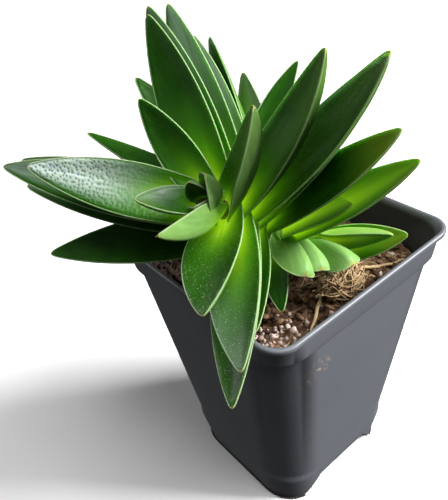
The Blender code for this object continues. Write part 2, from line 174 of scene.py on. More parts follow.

# Leaves: the solids' rows. Each row is: distance back from the growing tip, turn about the
# stem from its upper side towards +Y, splay from the stem's direction, how much the splay
# grows to the tip of the leaf, roll about its own length, length, half width. Angles are in
# degrees. The second group of numbers is the finish: how far the bright base reaches (partly
# the base's own paler green, partly painted glow), how golden the tip is, how much pale wax the
# upper face has, brightened into a painted sheen, and how strongly pale specks show on it.
BACK_RANK = (
    ((2, 24, 16, 0, 0, 8, 2.6), (0.5, 0, 0, 0)),
    ((6, 50, 62, -6, 0, 29, 4.3), (0.8, 0, 0, 0.1)),
    ((10, 37, 64, 0, 0, 47, 5.9), (0.7, 0, 0, 0.1)),
    ((14, 41, 66, 0, 0, 53, 6.2), (0.7, 0, 0.15, 0.1)),
    ((18, 38, 65, 0, 0, 54, 6.2), (0.9, 0, 0.35, 0.1)),
    ((22, 41, 71, 0, 0, 50, 6.0), (1.0, 0, 0.4, 0.1)),
    ((26, 38, 69, 0, 20, 50, 5.0), (0.8, 0, 0, 0.1)),
    ((31, 39, 77, 0, 0, 44, 5.2), (1.5, 0.1, 0, 0)),
    ((18, 15, 86, 26, 0, 44, 4.6), (0.3, 0, 0, 0)),
)
RIGHT_RANK = (
    ((4, 325, 25, 0, 10, 12, 3.8), (0.6, 0, 0, 0)),
    ((9, 326, 56, -18, 24, 31, 5.4), (0.35, 0.1, 0, 0.6)),
    ((12, 325, 76, -34, 12, 46, 6.2), (0.5, 0.1, 0, 0.1)),
    ((16, 319, 79, -26, 10, 52, 6.6), (0.5, 0.1, 0, 0.3)),
    ((20, 329, 84, -22, 10, 50, 6.6), (0.5, 0.3, 0, 0.1)),
    ((24, 314, 84, -20, 12, 44, 5.8), (0.3, 0.6, 0, 0.1)),
    ((34, 310, 81, -18, 12, 45, 5.4), (2.0, 0.5, 0, 0)),
    ((30, 312, 87, 0, 20, 24, 4.8), (2.2, 0.4, 0, 0)),
    ((42, 300, 93, 0, -75, 26, 3.4), (1.6, 0.2, 0, 0)),
    ((48, 304, 93, 0, -30, 27, 4.6), (1.8, 0.8, 0, 0.1)),
)
FRONT_RANK = (
    ((2, 213, 16, 0, 0, 7, 2.6), (0.5, 0, 0, 0)),
    ((6, 197, 30, -8, -30, 22, 4.4), (0.8, 0.1, 0, 0.1)),
    ((10, 217, 58, 0, 0, 30, 7.4), (0.85, 0, 0, 1)),
    ((14, 228, 65, 0, 0, 42, 6.8), (1.15, 0, 0.1, 1)),
    ((18, 219, 71, 0, 0, 46, 6.4), (0.7, 0, 0, 0.6)),
    ((23, 222, 73, 0, 10, 29, 3.8), (0.6, 0, 0, 0.1)),
    ((28, 221, 93, 0, 10, 21, 3.4), (0.8, 0, 0, 0)),
    ((33, 254, 65, 10, -108, 19, 4.7), (0.3, 0, 0, 0)),
    ((38, 263, 64, 14, -115, 18, 5.4), (0.5, 0, 0, 0)),
    ((43, 277, 69, 14, -130, 21, 5.6), (0.5, 0, 0, 0)),
)
LEFT_RANK = (
    ((4, 120, 28, 0, -20, 18, 3.6), (0.7, 0.1, 0.1, 0.3)),
    ((8, 100, 53, 10, 10, 46, 5.8), (1.0, 0, 1, 0)),
    ((12, 102, 59, 8, 10, 59, 5.8), (0.3, 0, 0.3, 0)),
    ((16, 100, 62, 6, 8, 61, 5.4), (0.3, 0, 0.2, 0)),
    ((20, 108, 61, 0, 0, 60, 6.2), (0.3, 0, 0.2, 0)),
    ((25, 130, 58, 0, 0, 55, 6.2), (0.3, 0, 0, 0)),
    ((28, 89, 62, 0, -50, 58, 4.2), (0.3, 0, 0, 0)),
    ((24, 63, 62, 0, -30, 50, 4.6), (0.3, 0, 0, 0)),
)
RANKS = (("back", BACK_RANK), ("right", RIGHT_RANK), ("front", FRONT_RANK), ("left", LEFT_RANK))
LEAF_ROOT = 0.6
LEAF_THICK = 3.4
YOUNG_LENGTH = 20.0  # leaves under this length are thinner
OLD_BACK = 30.0  # leaves this far back and shorter than OLD_LENGTH have round ends
OLD_LENGTH = 25.0
LEAF_EDGE = 0.32
LEAF_BASE = 0.62
LEAF_BELLY = 0.42
LEAF_DISH = 0.42
LEAF_STATIONS = 110
LEAF_ACROSS = 27  # points over the upper face, and the same over the back
ROUND_END, POINTED_END = (3.2, 0.5), (1.9, 0.9)  # powers of the width's fall to the tip
ROUND_KEEL, POINTED_KEEL = (6, 0.5), (3, 0.7)  # powers of the keel's fall to the tip
LEAF_CLOSE = 0.025  # share of the length over which the very tip is rounded off
MARGIN_RADIUS = 0.17
MARGIN_ANGLES = (128, 95, 60, 25, -15, -55)  # degrees round the bead of the margin
GROOVE_WIDTH = 0.55  # groove between the upper face and its margin
GROOVE_DEPTH = 0.8
LEAF_NOISE = 60  # first seed of the leaves' waves, fine ribs and pits
WAVE = (7.0, 3.0, 0.10)  # length along, length across and height
RIBS = (14.0, 0.55, 0.035)

# The broad leaf with the most wax and painted sheen is pitted, and has a finer mesh
PITTED_FROM = 0.9  # the least wax and sheen that comes with pits
PITTED_STATIONS = 300
PITTED_ACROSS = 69
PIT_SPACING = 0.98
PIT_RADIUS = 0.21
PIT_DEPTH = 0.14
PIT_INSET = 0.9  # how far in from the margin the pits have their whole depth
PITS_FROM = 0.38  # share of the leaf's length where the pits begin
PITS_FADE = 0.25
BLISTER = (0.05, 0.07)  # height between the pits, and what is added where they fade

# The leaves' finish
BASE_GLOW_EMISSION = 0.55  # strength of the painted glow: the bright base is emitted, as if light shone through the thin leaf bases
SPECK_TINT = (0.70, 0.75, 0.50)
GOLD_TINT = (0.36, 0.42, 0.03)
YOUNG_BACK = (40.0, 15.0)  # length where a back starts to turn pale, and the drop to full
LEAF_STEP = 91.0  # millimetres between the patterns of two leaves
BACK_STEP = 40.0
STREAK_STRETCH = (0.16, 1.3, 1.0)  # pattern's scale along, across and through a leaf
GLOW_STREAK = 0.10  # how far the streaks move the end of the bright base
GLOW_FALL = 2.6
GLOW_MIDDLE = 1.15
FRESH_REACH = (0.05, 0.6)  # glow where fresh green starts to turn into the bright one, and is it
BACK_GLOW = 0.45
WAX_SHEEN_ALONG = (0.25, 0.75)  # shares of the length where the wax and painted sheen start and are full
WAX_SHEEN_ASIDE = (-0.95, 0.1)  # the same across the width
BROAD_SPECKS = {"Scale": 1.5, "Size": 0.15, "Share": 0.5}
FINE_SPECKS = {"Scale": 3.3, "Size": 0.22, "Share": 0.6}
FINE_STRENGTH = 0.55
GOLD_FROM = 0.55  # shares of the length where the golden tint and the dry tip start
TIP_FROM = 0.98
# the pits' cover is painted shade that darkens each dent
PIT_SHADE_COVER, SPECK_COVER, GOLD_COVER, MARGIN_COVER, TIP_COVER = 0.9, 0.8, 0.7, 0.62, 0.45

# Dry roots: a tangle on the soil and three long dead roots, each (x, y, height over the soil)
CLUMP_CENTRE = (3.0, -21.5)
CLUMP_LIFT = 1.0
CLUMP_SIZE = (6.4, 4.4, 3.2)
CLUMP_SEED = 11
CORE_DETAIL = 4
CORE_SHARE = 0.98
CORE_SHADE = 0.62
LUMPS = ((0.20, 2.2, 2.0, 4.0), (0.11, 7.0, 6.0, 9.0))  # rise, scale, slant and shift
LUMP_NOISE = 70
STRAND_STATIONS = 18
STRAND_SIDES = 7
STRAND_RADIUS = (0.10, 0.30)
STRAND_SWEEP = (0.6, 2.0)
STRAND_DEPTH = (0.62, 1.08)
STRAND_FLATTEN = 0.55
STRAND_SPREAD = 1.12
STRAND_RIPPLE = 0.10
STRAND_LOOSE = 0.9  # how far the end of the loosest strand trails off
STRAND_LIFT = 0.1
LONG_ROOTS = (
    ((2.5, -20.5, 3.0), (-1.5, -20.0, 3.0), (-5.5, -21.0, 1.8), (-10.0, -23.6, 1.0), (-15.0, -26.4, 1.1)),
    ((4.0, -21.0, 3.0), (8.5, -21.0, 2.6), (11.5, -24.4, 1.3), (13.4, -29.0, 1.1)),
    ((7.0, -20.0, 2.0), (12.5, -20.5, 1.6), (18.5, -23.4, 0.9), (24.5, -28.2, 1.2)),
)
LONG_ROOT_RADIUS = 0.5
LONG_ROOT_STATIONS = 60
LONG_ROOT_SIDES = 12
LONG_ROOT_SHADE = 0.95
WOBBLE = 0.12
WOBBLE_TURNS = (0.5, 0.37, 0.61)  # radians from one station to the next in x, y and z

# Stage, in metres: a white floor and surroundings, three square lights and the photograph's view
FLOOR_HALF = 6.0
FLOOR_DROP = 0.0002
FLOOR_FADE = (0.6, 1.6)  # distances over which the floor turns into the white surroundings
SKY_GLOW = 0.07  # strength of the light from all round, while the camera sees plain white
WHITE = (1.0, 1.0, 1.0, 1.0)
LIGHTS = (  # name, width and place
    ("key", 0.9, (1.30, -1.15, 1.20)),
    ("top", 0.5, (0.0, -0.42, 1.15)),
    ("fill", 1.0, (-0.75, 1.35, 0.75)),
)
LIGHT_AIM = (0.0, 0.0, 0.08)
CAMERA_PLACE = (-0.0913, -0.0989, 0.1853)
CAMERA_RIGHT = (0.758, -0.644, -0.108)
CAMERA_BACK = (-0.471, -0.653, 0.593)
CAMERA_LENS = 40.4  # millimetres, as the sensor is
CAMERA_SENSOR = 36.0
CAMERA_NEAR = 0.005


# Settings that a user would change


def colour(name, description, default):
    """A colour that the user picks."""
    return FloatVectorProperty(
        name=name, description=description, default=default, subtype="COLOR", size=3, min=0.0, max=1.0)


def fraction(name, description, default):
    """A part of one that the user sets with a slider."""
    return FloatProperty(
        name=name, description=description, default=default, min=0.0, max=1.0, subtype="FACTOR")


def how_many(name, description, default, most):
    """How many of a thing are made."""
    return IntProperty(name=name, description=description, default=default, min=0, max=most)


def watts(name, description, default):
    """A light's power in watts."""
    return FloatProperty(name=name, description=description, default=default, min=0.0)


class PotSettings(bpy.types.PropertyGroup):
    plastic: colour("Plastic", "Colour of the pot's plastic", (0.128, 0.134, 0.152))
    shade: colour("Shaded plastic", "Darker tone that clouds the plastic", (0.104, 0.110, 0.126))
    dirt: colour("Dirt", "Colour of the dried soil on the side", (0.33, 0.25, 0.19))
    dullness: fraction("Roughness", "How dull the plastic is", 0.36)


class SoilSettings(bpy.types.PropertyGroup):
    dark: colour("Dark crumb", "Colour of the soil's hollows", (0.028, 0.014, 0.008))
    light: colour("Light crumb", "Colour of the soil's raised crumbs", (0.26, 0.150, 0.085))
    grit_light: colour("Grit", "Colour of the pale grit", (0.82, 0.66, 0.60))
    chips: how_many("Chips", "Number of bark chips", 620, 2000)
    grit: how_many("Grit stones", "Number of pale grit stones", 190, 1000)
    fibres: how_many("Fibres", "Number of loose fibres", 260, 1000)


class LeafSettings(bpy.types.PropertyGroup):
    dark: colour("Dark green", "Upper face of a leaf", (0.012, 0.072, 0.002))
    fresh: colour("Fresh green", "Between the dark blade and the bright base", (0.15, 0.62, 0.008))
    # the bright base is partly the leaf's own paler green and partly painted glow, which is also emitted
    bright: colour("Bright base", "Base of a leaf and most of an old one", (0.52, 0.92, 0.015))
    back: colour("Young back", "Keeled back of a short leaf", (0.20, 0.38, 0.100))
    old_back: colour("Back", "Keeled back of a long leaf", (0.075, 0.19, 0.030))
    margin: colour("Margin", "Thin pale edge", (0.36, 0.47, 0.26))
    # pale wax on the pitted leaf, brightened into a painted sheen
    bloom_sheen: colour("Bloom", "Pale wax on the pitted leaf", (0.74, 0.88, 0.80))
    tip: colour("Tip", "Dry point of a leaf", (0.50, 0.40, 0.10))


class RootSettings(bpy.types.PropertyGroup):
    straw: colour("Straw", "Pale side of the dry roots", (0.62, 0.45, 0.25))
    brown: colour("Brown", "Dark side of the dry roots", (0.26, 0.16, 0.08))
    strands: how_many("Strands", "Number of strands in the tangle", 260, 600)


class StageSettings(bpy.types.PropertyGroup):
    floor: colour("Floor", "Colour of the floor", (0.86, 0.86, 0.86))
    key: watts("Key light", "Power of the main light in watts", 125.0)
    top: watts("Top light", "Power of the light above in watts", 8.0)
    fill: watts("Fill light", "Power of the light behind in watts", 9.0)


# Meshes


NO_QUADS = np.empty((0, 4), int)
LATTICE = 64  # whole numbers after which the noise and the dots repeat
DOT_JITTER = (0.12, 0.88)


def unit(vector):
    """The same directions with a length of one."""
    return vector / np.linalg.norm(vector, axis=-1, keepdims=True)


def shell(points, quads, tris, **values):
    """One closed surface, turned so that its signed volume is positive and its faces point out."""
    corners = np.concatenate([quads[:, [0, 1, 2]], quads[:, [0, 2, 3]], tris])
    a, b, c = (points[corners[:, k]] for k in range(3))
    if np.einsum("ij,ij->i", a, np.cross(b, c)).sum() < 0:
        quads, tris = quads[:, ::-1], tris[:, ::-1]
    return {"points": points, "quads": quads, "tris": tris, "values": values}


def tube_shell(rings, **values):
    """A closed surface through rings of points, each end closed with a fan round its middle."""
    rows, columns = rings.shape[:2]
    r, c = np.meshgrid(np.arange(rows - 1), np.arange(columns), indexing="ij")
    n = (c + 1) % columns
    quads = np.stack([r * columns + c, r * columns + n, (r + 1) * columns + n, (r + 1) * columns + c], -1)
    c = np.arange(columns)
    n, last, ends = (c + 1) % columns, (rows - 1) * columns, rows * columns
    tris = np.concatenate([
        np.stack([n, c, np.full(columns, ends)], -1),
        np.stack([last + c, last + n, np.full(columns, ends + 1)], -1)])
    points = np.concatenate([rings.reshape(-1, 3), [rings[0].mean(0), rings[-1].mean(0)]])
    spread = {}
    for name, value in values.items():
        flat = value.reshape(-1, 3)
        spread[name] = np.concatenate([flat, [value[0].mean(0), value[-1].mean(0)]])
    return shell(points, quads.reshape(-1, 4), tris, **spread)


def repeated(base_points, base_tris, places, **values):
    """Copies of a small closed shape: places holds each copy's points, values one triple a copy."""
    copies, count = places.shape[0], base_points.shape[0]
    tris = (base_tris[None] + (np.arange(copies) * count)[:, None, None]).reshape(-1, 3)
    spread = {name: np.repeat(value, count, axis=0) for name, value in values.items()}
    return {"points": places.reshape(-1, 3), "quads": NO_QUADS, "tris": tris, "values": spread}


def carry(mesh, name, triples):
    """Lets each point of a mesh carry three numbers under a name."""
    layer = mesh.attributes.new(name, "FLOAT_VECTOR", "POINT")
    layer.data.foreach_set("vector", triples.astype(np.float32).ravel())


def make_object(name, shells):
    """One smooth mesh object at the origin from closed surfaces in millimetres."""
    starts = np.cumsum([0] + [len(s["points"]) for s in shells])
    points = np.concatenate([s["points"] for s in shells]) * METRES
    quads = np.concatenate([s["quads"] + start for s, start in zip(shells, starts)])
    tris = np.concatenate([s["tris"] + start for s, start in zip(shells, starts)])
    mesh = bpy.data.meshes.new(name)
    mesh.vertices.add(len(points))
    mesh.vertices.foreach_set("co", points.astype(np.float32).ravel())
    corners = np.concatenate([quads.ravel(), tris.ravel()]).astype(np.int32)
    mesh.loops.add(len(corners))
    mesh.loops.foreach_set("vertex_index", corners)
    sizes = np.concatenate([np.full(len(quads), 4), np.full(len(tris), 3)]).astype(np.int32)
    mesh.polygons.add(len(sizes))
    mesh.polygons.foreach_set("loop_start", (np.cumsum(sizes) - sizes).astype(np.int32))
    mesh.polygons.foreach_set("loop_total", sizes)
    mesh.polygons.foreach_set("use_smooth", np.ones(len(sizes), bool))
    mesh.update(calc_edges=True)
    mesh.validate()
    for key in shells[0]["values"]:
        carry(mesh, key, np.concatenate([s["values"][key] for s in shells]))
    made = bpy.data.objects.new(name, mesh)
    bpy.context.scene.collection.objects.link(made)
    return made


def declare(piece, slot, *nodes):
    """Puts the piece on the body that it rides and, where it takes their place, hides the nodes of the
    solid. The slot is not used.
    """
    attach(piece, BODY)
    if nodes:
        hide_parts(*nodes)


def make_piece(name, shells, material, slot, *nodes):
    """One piece of the scene, made of closed surfaces with one material."""
    piece = make_object(name, shells)
    piece.data.materials.append(material)
    declare(piece, slot, *nodes)


def lattice_noise(a, b, seed):
    """Smooth noise from -1 to 1 on a plane: random heights at whole numbers, blended between."""
    heights = np.random.default_rng(seed).uniform(-1, 1, (LATTICE, LATTICE))
    i, j = np.floor(a).astype(int), np.floor(b).astype(int)
    u, v = a - i, b - j
    u, v = u * u * (3 - 2 * u), v * v * (3 - 2 * v)
    h = [[heights[(i + p) % LATTICE, (j + q) % LATTICE] for q in (0, 1)] for p in (0, 1)]
    return (h[0][0] * (1 - u) + h[1][0] * u) * (1 - v) + (h[0][1] * (1 - u) + h[1][1] * u) * v


def nearest_dot(a, b, spacing, seed):
    """Distance on a plane to the nearest dot of a jittered square pattern."""
    jitter = np.random.default_rng(seed).uniform(*DOT_JITTER, (LATTICE, LATTICE, 2))
    i, j = np.floor(a / spacing).astype(int), np.floor(b / spacing).astype(int)
    best = np.full(a.shape, np.inf)
    for p in (-1, 0, 1):
        for q in (-1, 0, 1):
            dot = jitter[(i + p) % LATTICE, (j + q) % LATTICE]
            away = np.hypot((i + p + dot[..., 0]) * spacing - a, (j + q + dot[..., 1]) * spacing - b)
            best = np.minimum(best, away)
    return best


# Node trees


def place(tree, kind, values=None, **settings):
    """Adds a node; a value is a constant for the input of that name or number, or a socket to link."""
    node = tree.nodes.new(kind)
    for key, value in settings.items():
        setattr(node, key, value)
    for key, value in (values or {}).items():
        if isinstance(value, bpy.types.NodeSocket):
            tree.links.new(value, node.inputs[key])
        else:
            node.inputs[key].default_value = value
    return node


def number(tree, operation, *values, clamp=False):
    """What a sum, product or other operation makes of the values."""
    node = place(tree, "ShaderNodeMath", dict(enumerate(values)), operation=operation, use_clamp=clamp)
    return node.outputs[0]


def times(tree, first, second, clamp=False):
    """The product of two values."""
    return number(tree, "MULTIPLY", first, second, clamp=clamp)


def noise(tree, where, scale, detail):
    """Smooth noise from 0 to 1."""
    return place(tree, "ShaderNodeTexNoise", {"Vector": where, "Scale": scale, "Detail": detail}).outputs[0]


def parts(tree, vector):
    """The three numbers of a vector."""
    return place(tree, "ShaderNodeSeparateXYZ", {0: vector}).outputs


def mixed(tree, share, first, second, blend="MIX"):
    """The two colours mixed by the share of the second."""
    first, second = (c if isinstance(c, bpy.types.NodeSocket) else (*c, 1.0) for c in (first, second))
    node = place(tree, "ShaderNodeMix", {0: share, 6: first, 7: second}, data_type="RGBA", blend_type=blend)
    return node.outputs[2]


def ramped(tree, value, low, high):
    """0 where the value is at low, 1 where it is at high, and smooth between."""
    return place(tree, "ShaderNodeMapRange", {0: value, 1: low, 2: high, 3: 0.0, 4: 1.0},
                 interpolation_type="SMOOTHSTEP").outputs[0]


def group(name, inputs, outputs):
    """A new shader group with named sockets: each is a name, a kind and, for an input, its default."""
    tree = bpy.data.node_groups.new(name, "ShaderNodeTree")
    for label, kind, default in inputs:
        socket = tree.interface.new_socket(name=label, in_out="INPUT", socket_type=f"NodeSocket{kind}")
        if default is not None:
            socket.default_value = default
    for label, kind in outputs:
        tree.interface.new_socket(name=label, in_out="OUTPUT", socket_type=f"NodeSocket{kind}")
    return tree, tree.nodes.new("NodeGroupInput").outputs, tree.nodes.new("NodeGroupOutput").inputs


def mottle_group():
    """Clouds of one colour in another, from noise of a given scale."""
    tree, given, made = group(
        "mottle",
        (("Vector", "Vector", None), ("Scale", "Float", 5.0), ("Contrast", "Float", 1.0),
         ("First", "Color", (0, 0, 0, 1)), ("Second", "Color", (1, 1, 1, 1))),
        (("Color", "Color"), ("Value", "Float")))
    centred = number(tree, "SUBTRACT", noise(tree, given["Vector"], given["Scale"], 4.0), 0.5)
    spread = number(tree, "MULTIPLY_ADD", centred, given["Contrast"], 0.5, clamp=True)
    tree.links.new(mixed(tree, spread, given["First"], given["Second"]), made["Color"])
    tree.links.new(spread, made["Value"])
    return tree


def speck_group():
    """Small round spots in some cells of a pattern: 1 in a spot and 0 elsewhere."""
    tree, given, made = group(
        "specks",
        (("Vector", "Vector", None), ("Scale", "Float", 500.0),
         ("Size", "Float", 0.2), ("Share", "Float", 0.3)),
        (("Mask", "Float"),))
    cells = place(tree, "ShaderNodeTexVoronoi", {"Vector": given["Vector"], "Scale": given["Scale"]})
    near = number(tree, "LESS_THAN", cells.outputs["Distance"], given["Size"])
    pick = place(tree, "ShaderNodeSeparateColor", {0: cells.outputs["Color"]}).outputs[0]
    chosen = number(tree, "LESS_THAN", pick, given["Share"])
    tree.links.new(times(tree, near, chosen), made["Mask"])
    return tree


def grain_group():
    """Two sizes of noise added into one height."""
    tree, given, made = group(
        "grain",
        (("Vector", "Vector", None), ("Scale", "Float", 200.0), ("Fine", "Float", 0.4)),
        (("Height", "Float"),))
    broad = noise(tree, given["Vector"], given["Scale"], 3.0)
    finer = noise(tree, given["Vector"], times(tree, given["Scale"], 5.0), 2.0)
    tree.links.new(number(tree, "MULTIPLY_ADD", finer, given["Fine"], broad), made["Height"])
    return tree


SHARED = {"mottle": mottle_group, "specks": speck_group, "grain": grain_group}


def shared(tree, name, values):
    """The outputs of a shared group, built once and placed in a material with its own values."""
    built = bpy.data.node_groups.get(name) or SHARED[name]()
    return place(tree, "ShaderNodeGroup", values, node_tree=built).outputs


def new_material(name, **constants):
    """A material and its tree and Principled shader, with constants on the shader's own sockets."""
    made = bpy.data.materials.new(name)
    made.use_nodes = True
    tree = made.node_tree
    shader = tree.nodes["Principled BSDF"]
    for key, value in constants.items():
        shader.inputs[key.replace("_", " ")].default_value = value
    return made, tree, shader


def carried(tree, name):
    """The vector that a mesh carries under a name."""
    return place(tree, "ShaderNodeAttribute", attribute_name=name).outputs["Vector"]


def object_place(tree):
    """Where a point is on its object, in metres."""
    return place(tree, "ShaderNodeTexCoord").outputs["Object"]


def bump(tree, shader, height, distance, strength=1.0):
    """Relief that is only shading, as deep as the distance in metres."""
    node = place(tree, "ShaderNodeBump", {"Height": height, "Distance": distance, "Strength": strength})
    tree.links.new(node.outputs[0], shader.inputs["Normal"])


def rgba(tint):
    """A tint with full opacity, as a group's colour socket takes it."""
    return (*tint, 1.0)


# The pot


def rounded_square(half, radius, height, steps):
    """Four arcs of one radius round middles near the corners, joined by straight sides, at one height."""
    corner = np.repeat(np.arange(4), steps + 1)
    turn = (corner + np.tile(np.linspace(0, 1, steps + 1), 4)) * np.pi / 2
    middle = (corner + 0.5) * np.pi / 2
    reach = (half - radius) * math.sqrt(2)
    return np.stack(
        [reach * np.cos(middle) + radius * np.cos(turn),
         reach * np.sin(middle) + radius * np.sin(turn),
         np.full(len(turn), float(height))], axis=1)


def pot_half(height):
    """Half the outer width, which grows evenly from the foot to the rim."""
    return POT_FOOT_HALF + (POT_TOP_HALF - POT_FOOT_HALF) * height / POT_HEIGHT


def eased(start, end, steps):
    """Rows of (height, outward step, corner radius) between two: the height grows evenly, the
    others on a smooth S curve."""
    even = np.linspace(0, 1, steps)
    ease = even * even * (3 - 2 * even)
    return list(zip(*(a + (b - a) * grown for a, b, grown in zip(start, end, (even, ease, ease)))))


def pot_profile():
    """(height, outward step, corner radius) from the underside, up the outside and down inside.

    The foot's edge is a quarter round and the lip a half round.
    """
    lug_top = POT_HEIGHT - RIM_HEIGHT
    lug_foot = lug_top - LUG_HEIGHT
    body = CORNER_RADIUS - WALL
    foot = [(EDGE_ROUND * (1 - math.sin(a)), -EDGE_ROUND * (1 - math.cos(a)), FOOT_RADIUS)
            for a in np.linspace(0, np.pi / 2, 5)]
    sides = eased((FOOT_BAND, 0.0, FOOT_RADIUS), (FOOT_BAND + BAND_BLEND, 0.0, CORNER_RADIUS), 9)
    sides += eased((lug_foot, 0.0, CORNER_RADIUS), (lug_foot + STEP_HEIGHT, 0.0, LUG_RADIUS), 5)
    sides += eased((lug_top, 0.0, LUG_RADIUS), (lug_top + STEP_HEIGHT / 2, EDGE_ROUND, RIM_RADIUS), 4)
    lip = (WALL + EDGE_ROUND) / 2
    for a in np.linspace(0, np.pi, 9):
        out = EDGE_ROUND - lip + lip * math.cos(a)
        radius = RIM_RADIUS - (EDGE_ROUND - out) * LIP_TIGHTEN
        sides.append((POT_HEIGHT - lip + lip * math.sin(a), out, radius))
    inside = eased((lug_top, -WALL, LUG_RADIUS - WALL), (lug_foot + STEP_HEIGHT, -WALL, body), 6)
    return foot + sides + inside + [(FLOOR_TOP, -WALL, body)]


def boolean(piece, operation, others):
    """Joins to the piece or cuts from it each helper and applies the result."""
    helpers = bpy.data.collections.new("cutters")
    bpy.context.scene.collection.children.link(helpers)
    for other in others:
        for home in list(other.users_collection):
            home.objects.unlink(other)
        helpers.objects.link(other)
    step = piece.modifiers.new("boolean", "BOOLEAN")
    step.operation = operation
    step.operand_type = "COLLECTION"
    step.collection = helpers
    step.solver = "MANIFOLD"
    solved = bpy.data.meshes.new_from_object(piece.evaluated_get(bpy.context.evaluated_depsgraph_get()))
    piece.modifiers.clear()
    piece.data = solved
    for used in list(helpers.objects):
        bpy.data.objects.remove(used, do_unlink=True)
    bpy.data.collections.remove(helpers)


def rod(name, x, y, radius, low, high):
    """An upright round bar between two heights."""
    turn = np.linspace(0, math.tau, ROUND_SIDES, endpoint=False)
    across, deep = x + radius * np.cos(turn), y + radius * np.sin(turn)
    rings = np.stack([np.stack([across, deep, np.full(len(turn), z)], -1) for z in (low, high)])
    return make_object(name, [tube_shell(rings)])


def base_cutters():
    """The hollow under the floor, and a bar with sloping sides that opens two of its sides."""
    hollow = np.stack([
        rounded_square(pot_half(z) - WALL, FOOT_RADIUS - WALL, z, CORNER_STEPS)
        for z in (-EDGE_ROUND, FLOOR_LEVEL)])
    low, high, under, reach = ARCH_LOW, ARCH_HIGH, -ARCH_BELOW, 2 * POT_TOP_HALF
    profile = ((-low, under), (low, under), (low, 0.0), (high, ARCH_RISE), (-high, ARCH_RISE), (-low, 0.0))
    arch = np.array([[(x, y, z) for x, z in profile] for y in (-reach, reach)])
    return [make_object("hollow", [tube_shell(hollow)]), make_object("arch", [tube_shell(arch)])]


def drain_cutters():
    """Round bars through the floor, evenly spaced on a circle."""
    bars = []
    for k in range(DRAINS):
        x, y = (DRAIN_CIRCLE * turn(k * math.tau / DRAINS) for turn in (math.cos, math.sin))
        bars.append(rod("drain", x, y, DRAIN_RADIUS, FLOOR_LEVEL / 2, 2 * FLOOR_TOP))
    return bars


def dirt_mask(tree, where):
    """1 in the dried splashes near a few places on the side, broken up by noise."""
    covered = 0.0
    for spot, reach, weight in DIRT_SPOTS:
        away = place(tree, "ShaderNodeVectorMath", {0: where, 1: spot}, operation="DISTANCE")
        near = ramped(tree, away.outputs["Value"], reach, 0.0)
        covered = number(tree, "MULTIPLY_ADD", near, weight, covered)
    patches = noise(tree, where, 1100.0, 5.0)
    return times(tree, ramped(tree, patches, 0.52, 0.64), covered, clamp=True)


def plastic_material(settings):
    """Clouded grey plastic with dust and dried splashes outside, and painted shade, near black and duller,
    on the lining.
    """
    made, tree, shader = new_material("slate_plastic", Specular_IOR_Level=0.5)
    where = object_place(tree)
    cloud = shared(tree, "mottle", {
        "Vector": where, "Scale": 34.0, "Contrast": 1.3,
        "First": rgba(settings.plastic), "Second": rgba(settings.shade)})
    dust = shared(tree, "specks", {"Vector": where, "Scale": 900.0, "Size": 0.2, "Share": 0.10})["Mask"]
    tint = mixed(tree, times(tree, dust, 0.25), cloud["Color"], DUST_TINT)
    splash = dirt_mask(tree, where)
    tint = mixed(tree, splash, tint, settings.dirt)
    # painted shade: the inside of the wall below the lip is darkened to near black and made duller
    low = ramped(tree, parts(tree, where)[2], *LINING_LEVELS)
    painted_shade = times(tree, parts(tree, carried(tree, "lining"))[0], low)
    tint = mixed(tree, times(tree, painted_shade, LINING_SHADE_COVER), tint, LINING_SHADE_TINT)
    tree.links.new(tint, shader.inputs["Base Color"])

    dull = number(tree, "MULTIPLY_ADD", cloud["Value"], 0.12, settings.dullness)
    dull = number(tree, "MULTIPLY_ADD", painted_shade, 0.5, dull)
    dull = number(tree, "MULTIPLY_ADD", splash, 0.4, dull, clamp=True)
    tree.links.new(dull, shader.inputs["Roughness"])
    grain = shared(tree, "grain", {"Vector": where, "Scale": 260.0, "Fine": 0.5})["Height"]
    bump(tree, shader, grain, 0.00004, 0.6)
    return made


def mark_lining(piece):
    """Gives each point a number from 0 to 1 for how squarely it faces the pot's middle line."""
    mesh = piece.data
    points, normals = (np.empty(len(mesh.vertices) * 3, np.float32) for _ in range(2))
    mesh.vertices.foreach_get("co", points)
    mesh.vertex_normals.foreach_get("vector", normals)
    outward = unit(points.reshape(-1, 3)[:, :2] + 1e-6)
    facing = np.clip(-LINING_SLOPE * (outward * normals.reshape(-1, 3)[:, :2]).sum(1), 0, 1)
    carry(mesh, "lining", np.repeat(facing, 3))


class SUCCULENT_OT_pot(bpy.types.Operator):
    """Make the square plastic pot with its lip, corner steps, skirt, post and drain holes"""

    bl_idname = "succulent.pot"
    bl_label = "Pot"

    def execute(self, context):
        rings = np.stack([
            rounded_square(pot_half(z) + out, radius, z, CORNER_STEPS) for z, out, radius in pot_profile()])
        pot = make_object("pot_shell", [tube_shell(rings)])
        boolean(pot, "DIFFERENCE", base_cutters())
        boolean(pot, "UNION", [rod("post", 0.0, 0.0, POST_RADIUS, 0.0, (FLOOR_LEVEL + FLOOR_TOP) / 2)])
        boolean(pot, "DIFFERENCE", drain_cutters())
        pot.data.polygons.foreach_set("use_smooth", np.ones(len(pot.data.polygons), bool))
        pot.data.set_sharp_from_angle(angle=math.radians(SHARP_ANGLE))
        mark_lining(pot)
        pot.data.materials.clear()
        pot.data.materials.append(plastic_material(context.scene.succulent_pot))
        declare(pot, "pot", "pot")
        return {"FINISHED"}


# The soil and what lies on it


def soil_bumps():
    """Seeded centres, radii and heights of the low bumps and hollows on the soil."""
    draw = np.random.default_rng(SOIL_SEED)
    reach = pot_half(SOIL_LEVEL) - WALL
    centres = draw.uniform(-reach, reach, (SOIL_BUMPS, 2))
    return centres, draw.uniform(*BUMP_RADIUS, SOIL_BUMPS), draw.uniform(*BUMP_HEIGHT, SOIL_BUMPS)


